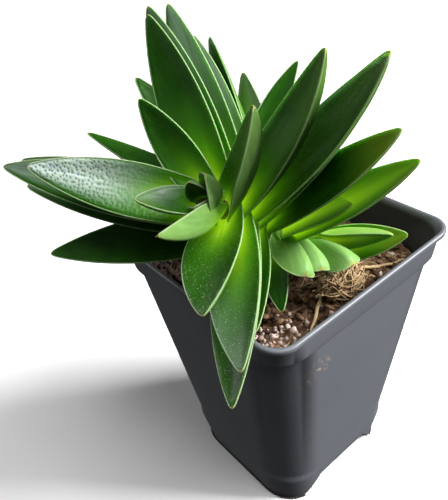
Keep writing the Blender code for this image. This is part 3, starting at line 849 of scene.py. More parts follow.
def soil_height(x, y):
    """The level, a mound round the stem and each bump as a bell curve."""
    x, y = np.asarray(x, float), np.asarray(y, float)
    stem = (x - STEM_CURVE[0][0]) ** 2 + (y - STEM_CURVE[0][1]) ** 2
    height = SOIL_LEVEL + MOUND_HEIGHT * np.exp(-stem / MOUND_RADIUS**2)
    for (cx, cy), radius, rise in zip(*soil_bumps()):
        height = height + rise * np.exp(-((x - cx) ** 2 + (y - cy) ** 2) / radius**2)
    return height


def crumb_height(x, y):
    """The soil's height with layers of noise added, each finer and lower than the one before."""
    height = soil_height(x, y)
    for layer, (wavelength, rise) in enumerate(CRUMB):
        height = height + rise * lattice_noise(x / wavelength + 7, y / wavelength + 3, CRUMB_NOISE + layer)
    return height


def soil_rings():
    """The bottom, the sides and then rings that close in over the rough top."""
    inset = WALL + CLEARANCE
    bottom = FLOOR_TOP + CLEARANCE
    radius = CORNER_RADIUS - inset
    outline = rounded_square(pot_half(SOIL_LEVEL) - inset - EDGE_GAP, radius, 0.0, SOIL_EDGE_STEPS)
    edge = evenly(outline, SOIL_SIDES)
    rings = [evenly(rounded_square(pot_half(bottom) - inset, radius, bottom, SOIL_EDGE_STEPS), SOIL_SIDES)]
    for share in np.linspace(1.0, SOIL_MIDDLE, SOIL_RINGS):
        ring = edge * share
        ring[:, 2] = crumb_height(ring[:, 0], ring[:, 1])
        if share == 1.0:
            ring[:, 2] = np.minimum(ring[:, 2], SOIL_LEVEL + EDGE_RISE)
        rings.append(ring)
    return np.stack(rings)


def evenly(loop, count):
    """A closed line of points at even distances, starting where the given one starts."""
    closed = np.concatenate([loop, loop[:1]])
    run = np.concatenate([[0.0], np.cumsum(np.linalg.norm(np.diff(closed, axis=0), axis=1))])
    at = np.linspace(0, run[-1], count, endpoint=False)
    return np.stack([np.interp(at, run, closed[:, k]) for k in range(3)], axis=1)


def soil_shade_share(tree, where):
    """How much painted shade darkens the soil: 0 at the front, 1 behind, where the leaves shadow it."""
    return ramped(tree, parts(tree, where)[1], *SOIL_SHADE_REACH)


def coir_material(settings):
    """Brown crumb in two tones with patches of peat, darker behind with painted shade from the leaves."""
    made, tree, shader = new_material("coir_mix", Roughness=0.92, Specular_IOR_Level=0.2)
    where = object_place(tree)
    cloud = shared(tree, "mottle", {
        "Vector": where, "Scale": 420.0, "Contrast": 2.6,
        "First": rgba(settings.dark), "Second": rgba(settings.light)})
    peat = ramped(tree, noise(tree, where, 90.0, 2.0), 0.35, 0.75)
    tint = mixed(tree, peat, cloud["Color"], PEAT_TINT)
    # painted shade behind, where the leaves shadow the soil
    tint = mixed(tree, soil_shade_share(tree, where), tint, SOIL_SHADE_TINT, "MULTIPLY")
    tree.links.new(tint, shader.inputs["Base Color"])
    grain = shared(tree, "grain", {"Vector": where, "Scale": 900.0, "Fine": 0.6})["Height"]
    bump(tree, shader, grain, 0.0003)
    return made


class SUCCULENT_OT_soil(bpy.types.Operator):
    """Make the filling of the pot with its crumbly top"""

    bl_idname = "succulent.soil"
    bl_label = "Soil"

    def execute(self, context):
        material = coir_material(context.scene.succulent_soil)
        make_piece("soil_bed", [tube_shell(soil_rings())], material, "soil", "soil")
        return {"FINISHED"}


def icosphere(subdivisions):
    """Points and triangles of a ball of radius one."""
    shape = bmesh.new()
    bmesh.ops.create_icosphere(shape, subdivisions=subdivisions, radius=1.0)
    shape.verts.ensure_lookup_table()
    points = np.array([v.co[:] for v in shape.verts])
    tris = np.array([[v.index for v in f.verts] for f in shape.faces])
    shape.free()
    return points, tris


def turned(draw, count, tilt):
    """Turning matrices with any heading and a tilt of up to the given angle."""
    heading = draw.uniform(0, math.tau, count)
    lean = draw.uniform(-tilt, tilt, count)
    spin = draw.uniform(0, math.tau, count)

    def about(axis, angle):
        """Turns about z for axis 0 and about x for axis 1."""
        c, s, o, i = np.cos(angle), np.sin(angle), np.zeros(count), np.ones(count)
        rows = ((c, -s, o, s, c, o, o, o, i), (i, o, o, o, c, -s, o, s, c))[axis]
        return np.stack(rows, -1).reshape(count, 3, 3)

    return about(0, heading) @ about(1, lean) @ about(0, spin)


def scattered(draw, count, reach, middle=(0.0, 0.0), spread=None):
    """Seeded places inside the pot's rounded square, all over it or round a middle."""
    if spread is None:
        places = draw.uniform(-reach, reach, (count, 2))
    else:
        places = np.asarray(middle) + draw.normal(0, spread, (count, 2))
    places = np.clip(places, -reach, reach)
    corner = reach - CORNER_RADIUS + WALL
    past = np.maximum(np.abs(places) - corner, 0)
    far = np.linalg.norm(past, axis=1, keepdims=True)
    most = CORNER_RADIUS - WALL
    pulled = np.where(far > most, past * most / np.maximum(far, 1e-6), past)
    return np.sign(places) * (np.minimum(np.abs(places), corner) + pulled)


def pebbles(draw, ball, places, sizes, tilt, sink, roughness):
    """Rough stones or chips: balls with random dents, stretched, turned and sunk into the soil."""
    points, _ = ball
    count = len(places)
    dents = 1 + roughness * draw.uniform(-1, 1, (count, len(points), 1))
    shapes = points[None] * dents * sizes[:, None, :]
    shapes = shapes @ turned(draw, count, tilt).transpose(0, 2, 1)
    ground = crumb_height(places[:, 0], places[:, 1]) + sizes.min(axis=1) * (1 - 2 * sink)
    shapes += np.concatenate([places, ground[:, None]], axis=1)[:, None, :]
    return shapes


def strand_rings(paths, radius, sides):
    """Thin tubes along many paths at once, each as thick as the root of a sine that ends near 0."""
    along = unit(np.gradient(paths, axis=1))
    across = unit(np.cross(along, (0.13, 0.21, 0.97)))
    above = np.cross(along, across)
    taper = np.sqrt(np.clip(np.sin(np.linspace(0.06, 0.94, paths.shape[1]) * np.pi), 0, 1))
    turn = np.linspace(0, math.tau, sides, endpoint=False)
    wide = (radius[:, None] * taper)[..., None, None]
    circle = np.cos(turn)[:, None] * across[:, :, None, :] + np.sin(turn)[:, None] * above[:, :, None, :]
    return paths[:, :, None, :] + wide * circle


def litter_material(name, low, high, rough=0.85):
    """Chips, grit or strands whose own random number picks a colour between two, darkened behind by painted
    shade.
    """
    made, tree, shader = new_material(name, Roughness=rough, Specular_IOR_Level=0.25)
    where = object_place(tree)
    tint = mixed(tree, parts(tree, carried(tree, "shade"))[0], low, high)
    cloud = shared(tree, "mottle", {"Vector": where, "Scale": 700.0, "Contrast": 1.6})["Value"]
    tint = mixed(tree, times(tree, cloud, 0.45), tint, LITTER_SHADE, "MULTIPLY")
    # painted shade behind, as on the soil
    tint = mixed(tree, soil_shade_share(tree, where), tint, SOIL_SHADE_TINT, "MULTIPLY")
    tree.links.new(tint, shader.inputs["Base Color"])
    grain = shared(tree, "grain", {"Vector": where, "Scale": 1400.0, "Fine": 0.5})["Height"]
    bump(tree, shader, grain, 0.00015)
    return made


def bark_chips(draw, ball, count, reach):
    """Flat chips, longer than wide, all over the soil and mostly dark."""
    sizes = draw.uniform(*CHIP_SIZES, (count, 3))
    places = scattered(draw, count, reach)
    chips = pebbles(draw, ball, places, sizes, CHIP_TILT, CHIP_SINK, CHIP_DENTS)
    return repeated(*ball, chips, shade=draw.uniform(0, 1, (count, 3)) ** CHIP_DARKNESS)


def grit_stones(draw, ball, count, reach):
    """Small stones, half of them round the front corner and the others all over the soil."""
    near = count // 2
    places = np.concatenate([
        scattered(draw, near, reach, FRONT_GRIT, FRONT_SPREAD), scattered(draw, count - near, reach)])
    sizes = draw.uniform(*GRIT_SIZES, (count, 1)) * draw.uniform(*GRIT_STRETCH, (count, 3))
    stones = pebbles(draw, ball, places, sizes, GRIT_TILT, GRIT_SINK, GRIT_DENTS)
    return repeated(*ball, stones, shade=draw.uniform(0, 1, (count, 3)))


def loose_fibres(draw, count, reach):
    """Short bent strands lying on the crumb: a straight run bowed to one side by a parabola."""
    middle = scattered(draw, count, reach - LITTER_INSET)
    heading = draw.uniform(0, math.tau, count)
    length = draw.uniform(*FIBRE_LENGTH, count)
    bow = draw.uniform(-FIBRE_BOW, FIBRE_BOW, count)
    s = np.linspace(-0.5, 0.5, FIBRE_STATIONS)
    ahead = np.stack([np.cos(heading), np.sin(heading)], -1)
    aside = np.stack([-np.sin(heading), np.cos(heading)], -1)
    flat = middle[:, None] + length[:, None, None] * (
        s[:, None] * ahead[:, None] + (bow[:, None] * (0.25 - s * s) * 2)[..., None] * aside[:, None])
    flat = np.clip(flat, -reach, reach)
    up = crumb_height(flat[..., 0], flat[..., 1])
    up = 0.5 * up + 0.5 * up.mean(axis=1, keepdims=True) + FIBRE_LIFT
    paths = np.concatenate([flat, up[..., None]], -1)
    rings = strand_rings(paths, draw.uniform(*FIBRE_RADIUS, count), FIBRE_SIDES)
    return shaded_tubes(rings, draw.uniform(0, 1, (count, 3)))


def shaded_tubes(rings, shades):
    """A closed surface for each strand, carrying its own random numbers."""
    return [tube_shell(r, shade=np.broadcast_to(k, r.shape)) for r, k in zip(rings, shades)]


class SUCCULENT_OT_litter(bpy.types.Operator):
    """Make the bark chips, pale grit and loose fibres that lie on the soil"""

    bl_idname = "succulent.litter"
    bl_label = "Soil litter"

    def execute(self, context):
        settings = context.scene.succulent_soil
        draw = np.random.default_rng(LITTER_SEED)
        reach = pot_half(SOIL_LEVEL) - WALL - CLEARANCE - LITTER_INSET
        ball = icosphere(LITTER_DETAIL)
        bark = litter_material("bark", *CHIP_TINTS)
        make_piece("bark_chips", [bark_chips(draw, ball, settings.chips, reach)], bark, "soil")
        grit = litter_material("grit", GRIT_TINT, settings.grit_light, rough=0.7)
        make_piece("pale_grit", [grit_stones(draw, ball, settings.grit, reach)], grit, "soil")
        fibre = litter_material("fibre", *FIBRE_TINTS)
        make_piece("soil_fibres", loose_fibres(draw, settings.fibres, reach), fibre, "soil")
        return {"FINISHED"}


# The stem and its leaves


def curve_point(share):
    """Points of the stem's quadratic curve and its directions there."""
    a, b, c = (np.array(p) for p in STEM_CURVE)
    s = np.asarray(share, float)[..., None]
    return (1 - s) ** 2 * a + 2 * s * (1 - s) * b + s**2 * c, unit(2 * (1 - s) * (b - a) + 2 * s * (c - b))


def stem_frame(back):
    """Point, direction, upper side and +Y side of the stem, a distance back from its tip."""
    shares = np.linspace(0, 1, 401)
    line = curve_point(shares)[0]
    run = np.concatenate([[0.0], np.cumsum(np.linalg.norm(np.diff(line, axis=0), axis=1))])
    point, along = curve_point(np.interp(run[-1] - back, run, shares))
    upper = unit(np.array([0.0, 0.0, 1.0]) - along[2] * along)
    side = np.cross(along, upper)
    return point, along, upper, side if side[1] > 0 else -side


def stem_rings():
    """Rings about the stem from its foot in the soil to its tip.

    The ridges of old leaf scars are the upper half of a sine along the stem, squared, and
    slanted by a smaller sine round it.
    """
    share = np.linspace(0, 1, STEM_STATIONS)
    line = curve_point(share)[0]
    foot = np.linspace(STEM_FOOT, STEM_CURVE[0], STEM_FOOT_STATIONS, endpoint=False)
    line = np.concatenate([foot, line])
    along = unit(np.gradient(line, axis=0))
    across = unit(np.cross(along, (0.0, 1.0, 0.0)))
    above = np.cross(along, across)
    run = np.linspace(0, 1, len(line))
    turn = np.linspace(0, math.tau, STEM_SIDES, endpoint=False)
    wave = np.sin(run[:, None] * SCAR_TURN + SCAR_SLANT * np.sin(2 * turn))
    scars = 1 + SCAR_RISE * np.maximum(0, wave) ** 2
    radius = np.interp(run, (0, 1), STEM_RADIUS)[:, None] * scars
    circle = np.cos(turn)[:, None] * across[:, None] + np.sin(turn)[:, None] * above[:, None]
    return line[:, None] + radius[..., None] * circle


def has_round_end(row):
    """Whether a leaf is an old short one, far back from the tip."""
    back, length = row[0], row[5]
    return back >= OLD_BACK and length < OLD_LENGTH


def leaf_width(t, half_width, round_end):
    """Half width along a leaf: it swells from the root to the belly and runs to a point or a round end."""
    swell = LEAF_BASE + (1 - LEAF_BASE) * np.sin(np.pi / 2 * np.clip(t / LEAF_BELLY, 0, 1))
    past = np.clip((t - LEAF_BELLY) / (1 - LEAF_BELLY), 0, 1)
    inner, outer = ROUND_END if round_end else POINTED_END
    return half_width * swell * (1 - past**inner) ** outer + LEAF_EDGE


def leaf_thickness(t, length, round_end):
    """Keel depth along a leaf: thinner at the root, thickest past a half, gone at the tip."""
    full = LEAF_THICK * min(1.0, 0.45 + 0.55 * length / YOUNG_LENGTH)
    inner, outer = ROUND_KEEL if round_end else POINTED_KEEL
    swell = 0.55 + 0.45 * np.sin(np.pi / 2 * np.clip(t / 0.6, 0, 1))
    return full * swell * (1 - t**inner) ** outer


def leaf_axes(row, t):
    """Middle line of a leaf and its sideways and facewise directions at each station.

    The line adds up short steps, whose lean from the stem grows evenly, and the two
    directions roll about it over the first half of the leaf.
    """
    back, turn, splay, bend, twist, length, _ = row
    point, along, upper, side = stem_frame(back)
    out = math.cos(math.radians(turn)) * upper + math.sin(math.radians(turn)) * side
    lean = np.radians(splay + bend * t)[:, None]
    ahead = along * np.cos(lean) + out * np.sin(lean)
    face = along * np.sin(lean) - out * np.cos(lean)
    across = np.cross(ahead, face)
    roll = math.radians(twist) * np.sin(np.pi / 2 * np.clip(2 * t, 0, 1))[:, None]
    across, face = across * np.cos(roll) + face * np.sin(roll), face * np.cos(roll) - across * np.sin(roll)
    steps = (ahead[:-1] + ahead[1:]) / 2 * (np.diff(t) * length)[:, None]
    line = point + out * LEAF_ROOT + np.concatenate([np.zeros((1, 3)), np.cumsum(steps, axis=0)])
    return line, across, face


def leaf_section(width, dish, keel, count):
    """Closed section at each station: (sideways, facewise) places, and masks for back and margin.

    The upper face is a parabola across the width with a bell-shaped groove by each margin,
    the margin a round bead that stands a little above it, and the back a keel that falls
    away from the middle to each margin.
    """
    bead = np.minimum(MARGIN_RADIUS, 0.45 * width)
    spread = np.sin(np.pi / 2 * np.linspace(-1, 1, count))
    top_x = spread * (width - 0.95 * bead)
    top_v = top_x / width
    groove = GROOVE_DEPTH * np.exp(-(((width - np.abs(top_x)) / GROOVE_WIDTH) ** 2))
    top_h = dish * top_v**2 + LEAF_EDGE * (1 - groove) * np.minimum(1, width / 1.2)
    low_x = -spread * (width - 0.5 * bead)
    low_v = low_x / width
    low_h = dish * low_v**2 - 0.8 * bead - keel * (1 - np.abs(low_v) ** 1.5)
    angle = np.radians(MARGIN_ANGLES)
    right_x, right_h = width + bead * np.cos(angle), dish + bead * np.sin(angle)
    left_x, left_h = -right_x[:, ::-1], right_h[:, ::-1]
    x = np.concatenate([top_x, right_x, low_x, left_x], axis=1)
    h = np.concatenate([top_h, right_h, low_h, left_h], axis=1)
    ones, beads = np.ones(count), len(angle)
    fade = np.linspace(0, 1, beads)
    under = np.concatenate([0 * ones, fade, ones, fade[::-1]])
    margin = np.concatenate([0 * ones, np.ones(beads), 0 * ones, np.ones(beads)])
    return x, h, under, margin


def pitted_height(h, far, x, width, upper, outer):
    """The faces' height with pits: swollen skin that falls to a bell-shaped pit at each dot."""
    away = nearest_dot(far, x, PIT_SPACING, LEAF_NOISE + 2)
    upper = upper * np.clip((width - np.abs(x)) / PIT_INSET, 0, 1)
    pit = np.exp(-((away / PIT_RADIUS) ** 2)) * upper * outer
    swollen = (BLISTER[0] + BLISTER[1] * (1 - outer)) * np.clip(away / PIT_SPACING, 0, 0.7)
    return h + upper * swollen - PIT_DEPTH * pit, pit


def leaf_shell(index, row, finish):
    """One leaf as a closed surface, carrying its own coordinates and finish for the material.

    The section is carried along the leaf's middle line, with slow waves and fine ribs added.
    """
    length, half_width = row[5:]
    reach, gold, wax_and_sheen, specks = finish
    pitted = wax_and_sheen > PITTED_FROM
    stations, count = (PITTED_STATIONS, PITTED_ACROSS) if pitted else (LEAF_STATIONS, LEAF_ACROSS)
    t = 1 - (1 - np.linspace(0, 1, stations)) ** 1.3
    middle, across, face = leaf_axes(row, t)
    closing = np.clip(t - (1 - LEAF_CLOSE), 0, 1) / LEAF_CLOSE
    close = np.sqrt(np.clip(1 - closing**2, 0.0004, 1))[:, None]
    width = leaf_width(t, half_width, has_round_end(row))[:, None] * close
    keel = leaf_thickness(t, length, has_round_end(row))[:, None]
    dish = LEAF_DISH * (1 - 0.55 * t)[:, None] * width
    x, h, under, margin = leaf_section(width, dish, keel, count)

    far = t[:, None] * length + 0 * x
    wave = lattice_noise(far / WAVE[0] + 11 * index, x / WAVE[1] + 5, LEAF_NOISE)
    ribs = lattice_noise(far / RIBS[0] + 3 * index, x / RIBS[1] + 9, LEAF_NOISE + 1)
    smooth_face = (1 - margin) * np.minimum(1, width / 2)
    h = h + smooth_face * (WAVE[2] * wave + RIBS[2] * ribs)
    pit = np.zeros_like(h)
    if pitted:
        outer = np.clip((t - PITS_FROM) / PITS_FADE, 0, 1)[:, None]
        h, pit = pitted_height(h, far, x, width, (1 - under) * (1 - margin), outer)
    rings = middle[:, None] + x[..., None] * across[:, None] + h[..., None] * face[:, None]

    along = np.broadcast_to(t[:, None], x.shape)
    young = np.clip((YOUNG_BACK[0] - length) / YOUNG_BACK[1], 0, 1)
    return tube_shell(
        rings,
        leaf_place=np.stack([along, x / width, under + 0 * x], -1),
        leaf_mm=np.stack([far + LEAF_STEP * index, x, BACK_STEP * under + 0 * x], -1),
        leaf_finish=np.broadcast_to((reach, gold, wax_and_sheen), (*x.shape, 3)),
        leaf_masks=np.stack([margin + 0 * x, pit, specks + 0 * x], -1),
        leaf_age=np.full((*x.shape, 3), young))


def bright_base_and_glow(tree, settings, along, aside, reach, streak):
    """How brightly a leaf's root glows through its back and its upper face, and in which green: partly
    the base's own paler colour, partly painted glow of light shining through the thin flesh.

    The glow falls from the root to nothing at its reach, by a power, along streaky lines. On
    the upper face it also fades towards the margins.
    """
    drift = number(tree, "MULTIPLY_ADD", number(tree, "SUBTRACT", streak, 0.5), GLOW_STREAK, along)
    glow = number(tree, "SUBTRACT", 1.0, number(tree, "DIVIDE", drift, reach), clamp=True)
    glow = number(tree, "POWER", glow, GLOW_FALL)
    middle = number(tree, "SUBTRACT", GLOW_MIDDLE, number(tree, "ABSOLUTE", aside), clamp=True)
    lit = times(tree, glow, middle, clamp=True)
    return glow, lit, mixed(tree, ramped(tree, lit, *FRESH_REACH), settings.fresh, settings.bright)


def wax_and_sheen_share(tree, wax_and_sheen, upper, along, aside, streak):
    """How much pale wax and painted sheen cover the upper face: more to the tip and to one side, in
    streaks.
    """
    wax_and_sheen = times(tree, wax_and_sheen, upper)
    wax_and_sheen = times(tree, wax_and_sheen, ramped(tree, along, *WAX_SHEEN_ALONG))
    wax_and_sheen = times(tree, wax_and_sheen, ramped(tree, aside, *WAX_SHEEN_ASIDE))
    return times(tree, wax_and_sheen, number(tree, "MULTIPLY_ADD", streak, 0.8, 0.5), clamp=True)


def speck_share(tree, flat, specks, upper):
    """Pale dots of two sizes on the upper face, the finer ones fainter."""
    dots = shared(tree, "specks", {"Vector": flat, **BROAD_SPECKS})["Mask"]
    dust = shared(tree, "specks", {"Vector": flat, **FINE_SPECKS})["Mask"]
    dots = number(tree, "MAXIMUM", dots, times(tree, dust, FINE_STRENGTH))
    return times(tree, times(tree, dots, specks), upper)


def leaf_material(settings):
    """Green that brightens to the base, partly its own colour and partly painted glow, with pale back,
    margin, wax brightened into a painted sheen, pits darkened with painted shade, specks and dry tip.
    """
    made, tree, shader = new_material(
        "leaf_green", Specular_IOR_Level=0.28, Subsurface_Weight=0.3, Subsurface_Radius=(0.5, 1.0, 0.25),
        Subsurface_Scale=0.0025, Emission_Strength=BASE_GLOW_EMISSION)
    along, aside, under = parts(tree, carried(tree, "leaf_place"))
    reach, gold, wax_and_sheen = parts(tree, carried(tree, "leaf_finish"))
    margin, pit, specks = parts(tree, carried(tree, "leaf_masks"))
    young = parts(tree, carried(tree, "leaf_age"))[0]
    flat = carried(tree, "leaf_mm")
    upper = number(tree, "SUBTRACT", 1.0, under)

    stretched = place(tree, "ShaderNodeMapping", {"Vector": flat, "Scale": STREAK_STRETCH}).outputs[0]
    streak = noise(tree, stretched, 1.0, 4.0)
    cloud = noise(tree, flat, 0.22, 2.0)
    dark = tuple(settings.dark)
    green = mixed(tree, ramped(tree, streak, 0.3, 0.75), dark, tuple(1.3 * c for c in dark))
    pale = (dark[0] * 2.2, dark[1] * 1.8, dark[2] * 1.5)
    green = mixed(tree, times(tree, ramped(tree, cloud, 0.35, 0.7), 0.4), green, pale)
    glow, lit, bright = bright_base_and_glow(tree, settings, along, aside, reach, streak)
    face = mixed(tree, lit, green, bright)
    # painted glow: the bright base is also emitted, as if light shone through the leaf
    tree.links.new(mixed(tree, lit, (0.0, 0.0, 0.0), bright), shader.inputs["Emission Color"])

    back = mixed(tree, young, settings.old_back, settings.back)
    back = mixed(tree, times(tree, ramped(tree, streak, 0.25, 0.75), 0.3), back, dark)
    # painted glow of the bright base through the back
    back = mixed(tree, times(tree, glow, BACK_GLOW), back, settings.bright)
    skin = mixed(tree, under, face, back)

    # pale wax brightened into a painted sheen on the upper face
    skin = mixed(tree, wax_and_sheen_share(tree, wax_and_sheen, upper, along, aside, streak), skin, settings.bloom_sheen)
    # painted shade darkens each pit
    skin = mixed(tree, times(tree, pit, PIT_SHADE_COVER), skin, tuple(0.8 * c for c in dark))
    dotted = speck_share(tree, flat, specks, upper)
    skin = mixed(tree, times(tree, dotted, SPECK_COVER), skin, SPECK_TINT)
    golden = times(tree, ramped(tree, along, GOLD_FROM, 1.0), gold)
    skin = mixed(tree, times(tree, golden, GOLD_COVER), skin, GOLD_TINT)
    skin = mixed(tree, times(tree, margin, MARGIN_COVER), skin, settings.margin)
    dry = ramped(tree, along, TIP_FROM, 1.0)
    skin = mixed(tree, times(tree, dry, TIP_COVER), skin, settings.tip)
    tree.links.new(skin, shader.inputs["Base Color"])

    rough = number(tree, "MULTIPLY_ADD", streak, 0.06, 0.33)
    rough = number(tree, "MULTIPLY_ADD", wax_and_sheen, -0.06, rough)
    tree.links.new(number(tree, "MULTIPLY_ADD", under, 0.12, rough), shader.inputs["Roughness"])
    cells = place(tree, "ShaderNodeTexVoronoi", {"Vector": flat, "Scale": 2.6}).outputs["Distance"]
    height = number(tree, "MULTIPLY_ADD", ramped(tree, cells, 0.0, 0.5), 0.5, streak)
    bump(tree, shader, height, 0.00007, 0.7)
    return made


def stem_material():
    """Green bark with clouds of brown."""
    made, tree, shader = new_material("stem_skin", Roughness=0.55)
    where = object_place(tree)
    first, second = (rgba(tint) for tint in STEM_TINTS)
    cloud = shared(tree, "mottle", {
        "Vector": where, "Scale": 180.0, "Contrast": 1.8, "First": first, "Second": second})
    tree.links.new(cloud["Color"], shader.inputs["Base Color"])
    bump(tree, shader, shared(tree, "grain", {"Vector": where, "Scale": 500.0})["Height"], 0.0002)
    return made


class SUCCULENT_OT_stem(bpy.types.Operator):
    """Make the stem that the leaves grow from"""

    bl_idname = "succulent.stem"
    bl_label = "Stem"

    def execute(self, context):
        make_piece("stem", [tube_shell(stem_rings())], stem_material(), "leafy_stem")
        return {"FINISHED"}


class SUCCULENT_OT_leaves(bpy.types.Operator):
    """Make the four ranks of thick pointed leaves"""

    bl_idname = "succulent.leaves"
    bl_label = "Leaves"

    def execute(self, context):
        skin = leaf_material(context.scene.succulent_leaves)
        index = 0
        for rank, rows in RANKS:
            leaves = [leaf_shell(index + k, row, finish) for k, (row, finish) in enumerate(rows)]
            index += len(rows)
            make_piece(f"leaves_{rank}", leaves, skin, "leafy_stem", "leafy_stem")
        return {"FINISHED"}


# The dry roots


def on_soil(places):
    """Places given as (x, y, height over the soil)."""
    p = np.asarray(places, float)
    return np.stack([p[:, 0], p[:, 1], soil_height(p[:, 0], p[:, 1]) + p[:, 2]], -1)


def smooth_path(points, count):
    """A smooth line through a few points: cubic pieces with the slopes of their neighbours."""
    p = np.concatenate([[2 * points[0] - points[1]], points, [2 * points[-1] - points[-2]]])
    s = np.linspace(0, len(points) - 1 - 1e-9, count)
    i = s.astype(int)
    f = (s - i)[:, None]
    a, b, c, d = p[i], p[i + 1], p[i + 2], p[i + 3]
    return 0.5 * (2 * b + (c - a) * f + (2 * a - 5 * b + 4 * c - d) * f**2 + (3 * b - a - 3 * c + d) * f**3)


def tangle_paths(draw, count, centre):
    """Strands wound round the knot: arcs on a flattened ball in random planes, some trailing off."""
    first = unit(draw.normal(0, 1, (count, 3)) * (1, 1, STRAND_FLATTEN))
    second = unit(np.cross(first, unit(draw.normal(0, 1, (count, 3)))))
    start, sweep = draw.uniform(0, math.tau, count), draw.uniform(*STRAND_SWEEP, count)
    s = np.linspace(0, 1, STRAND_STATIONS)
    angle = start[:, None] + sweep[:, None] * s
    depth = draw.uniform(*STRAND_DEPTH, count)[:, None]
    loose = draw.uniform(0, 1, count)[:, None] ** 4 * STRAND_LOOSE * s**2
    radius = depth * (1 + STRAND_RIPPLE * np.sin(angle * 5 + start[:, None] * 3)) + loose
    arcs = np.cos(angle)[..., None] * first[:, None] + np.sin(angle)[..., None] * second[:, None]
    paths = centre + radius[..., None] * arcs * np.array(CLUMP_SIZE) * STRAND_SPREAD
    ground = crumb_height(paths[..., 0], paths[..., 1]) + STRAND_LIFT
    paths[..., 2] = np.maximum(paths[..., 2], ground)
    return paths


def tangle_shells(draw, count):
    """The knot: a ball with two sizes of noise added, flattened, and strands wound round it."""
    centre = on_soil([(*CLUMP_CENTRE, CLUMP_SIZE[2] + CLUMP_LIFT)])[0]
    ball, tris = icosphere(CORE_DETAIL)
    lumps = np.ones((len(ball), 1))
    for layer, (rise, scale, slant, shift) in enumerate(LUMPS):
        across, up = ball[:, 0] * scale + shift, ball[:, 1] * scale + ball[:, 2] * slant
        lumps += rise * lattice_noise(across, up, LUMP_NOISE + layer)[:, None]
    core = ball * lumps * np.array(CLUMP_SIZE) * CORE_SHARE + centre
    paths = tangle_paths(draw, count, centre)
    rings = strand_rings(paths, draw.uniform(*STRAND_RADIUS, count), STRAND_SIDES)
    strands = shaded_tubes(rings, draw.uniform(0, 1, (count, 3)))
    return [shell(core, NO_QUADS, tris, shade=np.full((len(ball), 3), CORE_SHADE)), *strands]


def long_root(places):
    """A thin tube along a smooth line, with a small sine of its own rate added in x, y and z."""
    step = np.arange(LONG_ROOT_STATIONS)
    path = smooth_path(on_soil(places), LONG_ROOT_STATIONS)
    path = path + WOBBLE * np.stack([np.sin(step * turn) for turn in WOBBLE_TURNS], -1)
    rings = strand_rings(path[None], np.array([LONG_ROOT_RADIUS]), LONG_ROOT_SIDES)[0]
    return tube_shell(rings, shade=np.full(rings.shape, LONG_ROOT_SHADE))


class SUCCULENT_OT_roots(bpy.types.Operator):
    """Make the tangle of dry roots on the soil and the three long dead roots"""

    bl_idname = "succulent.roots"
    bl_label = "Dry roots"

    def execute(self, context):
        settings = context.scene.succulent_roots
        draw = np.random.default_rng(CLUMP_SEED)
        material = litter_material("dry_root", settings.brown, settings.straw)
        tangle = tangle_shells(draw, settings.strands)
        make_piece("root_tangle", tangle, material, "dry_roots", "dry_roots")
        make_piece("long_roots", [long_root(places) for places in LONG_ROOTS], material, "dry_roots")
        return {"FINISHED"}


# The stage


def area_light(name, power, size, spot):
    """A square light at a place, turned to face the plant."""
    light = bpy.data.lights.new(name, "AREA")
    light.shape = "SQUARE"
    light.size, light.energy = size, power
    made = bpy.data.objects.new(name, light)
    made.location = spot
    away = unit(np.array(spot) - np.array(LIGHT_AIM))
    right = unit(np.cross((0.0, 0.0, 1.0), away))
    turn = Matrix(np.stack([right, np.cross(away, right), away], -1).tolist())
    made.rotation_mode = "QUATERNION"
    made.rotation_quaternion = turn.to_quaternion()
    bpy.context.scene.collection.objects.link(made)


def floor_material(settings):
    """Matt paint that turns into plain white light with the distance from the pot."""
    made, tree, shader = new_material(
        "floor", Base_Color=rgba(settings.floor), Roughness=0.9, Specular_IOR_Level=0.1,
        Emission_Color=WHITE)
    away = place(tree, "ShaderNodeVectorMath", {0: object_place(tree)}, operation="LENGTH")
    tree.links.new(ramped(tree, away.outputs["Value"], *FLOOR_FADE), shader.inputs["Emission Strength"])
    return made


def white_world():
    """Weak light from all round, which the camera sees as plain white."""
    world = bpy.data.worlds.new("studio")
    world.use_nodes = True
    tree = world.node_tree
    sky = tree.nodes["Background"]
    sky.inputs["Color"].default_value = WHITE
    seen = place(tree, "ShaderNodeLightPath").outputs["Is Camera Ray"]
    strength = number(tree, "MULTIPLY_ADD", seen, 1.0 - SKY_GLOW, SKY_GLOW)
    tree.links.new(strength, sky.inputs["Strength"])
    return world


def photo_camera():
    """A camera at the place and turn from which the photograph was taken."""
    camera = bpy.data.objects.new("camera", bpy.data.cameras.new("camera"))
    bpy.context.scene.collection.objects.link(camera)
    right, back = unit(np.array(CAMERA_RIGHT)), unit(np.array(CAMERA_BACK))
    up = unit(np.cross(back, right))
    turn = Matrix(np.stack([np.cross(up, back), up, back], -1).tolist()).to_4x4()
    camera.matrix_world = Matrix.Translation(CAMERA_PLACE) @ turn
    camera.data.lens = CAMERA_LENS
    camera.data.sensor_width = CAMERA_SENSOR
    camera.data.clip_start = CAMERA_NEAR
    return camera


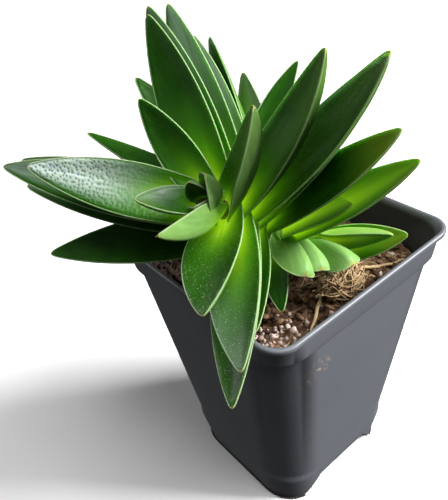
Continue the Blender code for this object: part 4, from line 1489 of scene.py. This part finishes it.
class SUCCULENT_OT_stage(bpy.types.Operator):
    """Make the plain floor, the soft lights, the white surroundings and the camera"""

    bl_idname = "succulent.stage"
    bl_label = "Stage"

    def execute(self, context):
        settings = context.scene.succulent_stage
        square = ((-1, -1), (1, -1), (1, 1), (-1, 1))
        corners = [(x * FLOOR_HALF, y * FLOOR_HALF, -FLOOR_DROP) for x, y in square]
        mesh = bpy.data.meshes.new("floor")
        mesh.from_pydata(corners, [], [(0, 1, 2, 3)])
        floor = bpy.data.objects.new("floor", mesh)
        context.scene.collection.objects.link(floor)
        floor.data.materials.append(floor_material(settings))
        floor.visible_diffuse = floor.visible_glossy = False

        for name, size, spot in LIGHTS:
            area_light(name, getattr(settings, name), size, spot)
        context.scene.world = white_world()
        context.scene.camera = photo_camera()
        context.scene.view_settings.view_transform = "Standard"
        return {"FINISHED"}


# The panel and the registration


OPERATORS = (SUCCULENT_OT_pot, SUCCULENT_OT_soil, SUCCULENT_OT_litter, SUCCULENT_OT_stem,
             SUCCULENT_OT_leaves, SUCCULENT_OT_roots, SUCCULENT_OT_stage)
SETTINGS = (("succulent_pot", PotSettings), ("succulent_soil", SoilSettings),
            ("succulent_leaves", LeafSettings), ("succulent_roots", RootSettings),
            ("succulent_stage", StageSettings))


class SUCCULENT_PT_panel(bpy.types.Panel):
    """Lists the pieces of the succulent and their settings"""

    bl_idname = "SUCCULENT_PT_panel"
    bl_label = "Potted succulent"
    bl_space_type = "VIEW_3D"
    bl_region_type = "UI"
    bl_category = "Succulent"

    def draw(self, context):
        for made in OPERATORS:
            self.layout.operator(made.bl_idname, text=made.bl_label)
        for name, kind in SETTINGS:
            box = self.layout.box()
            for key in kind.__annotations__:
                box.prop(getattr(context.scene, name), key)


CLASSES = (*(kind for _, kind in SETTINGS), *OPERATORS, SUCCULENT_PT_panel)


def register():
    """Adds the classes, and their settings to every scene."""
    for kind in CLASSES:
        bpy.utils.register_class(kind)
    for name, kind in SETTINGS:
        setattr(bpy.types.Scene, name, PointerProperty(type=kind))


def unregister():
    """Takes the settings and the classes away again."""
    for name, _ in SETTINGS:
        delattr(bpy.types.Scene, name)
    for kind in reversed(CLASSES):
        bpy.utils.unregister_class(kind)


def main():
    """Makes every piece in order."""
    register()
    for made in OPERATORS:
        area, name = made.bl_idname.split(".")
        getattr(getattr(bpy.ops, area), name)()


if __name__ == "__main__":
    main()
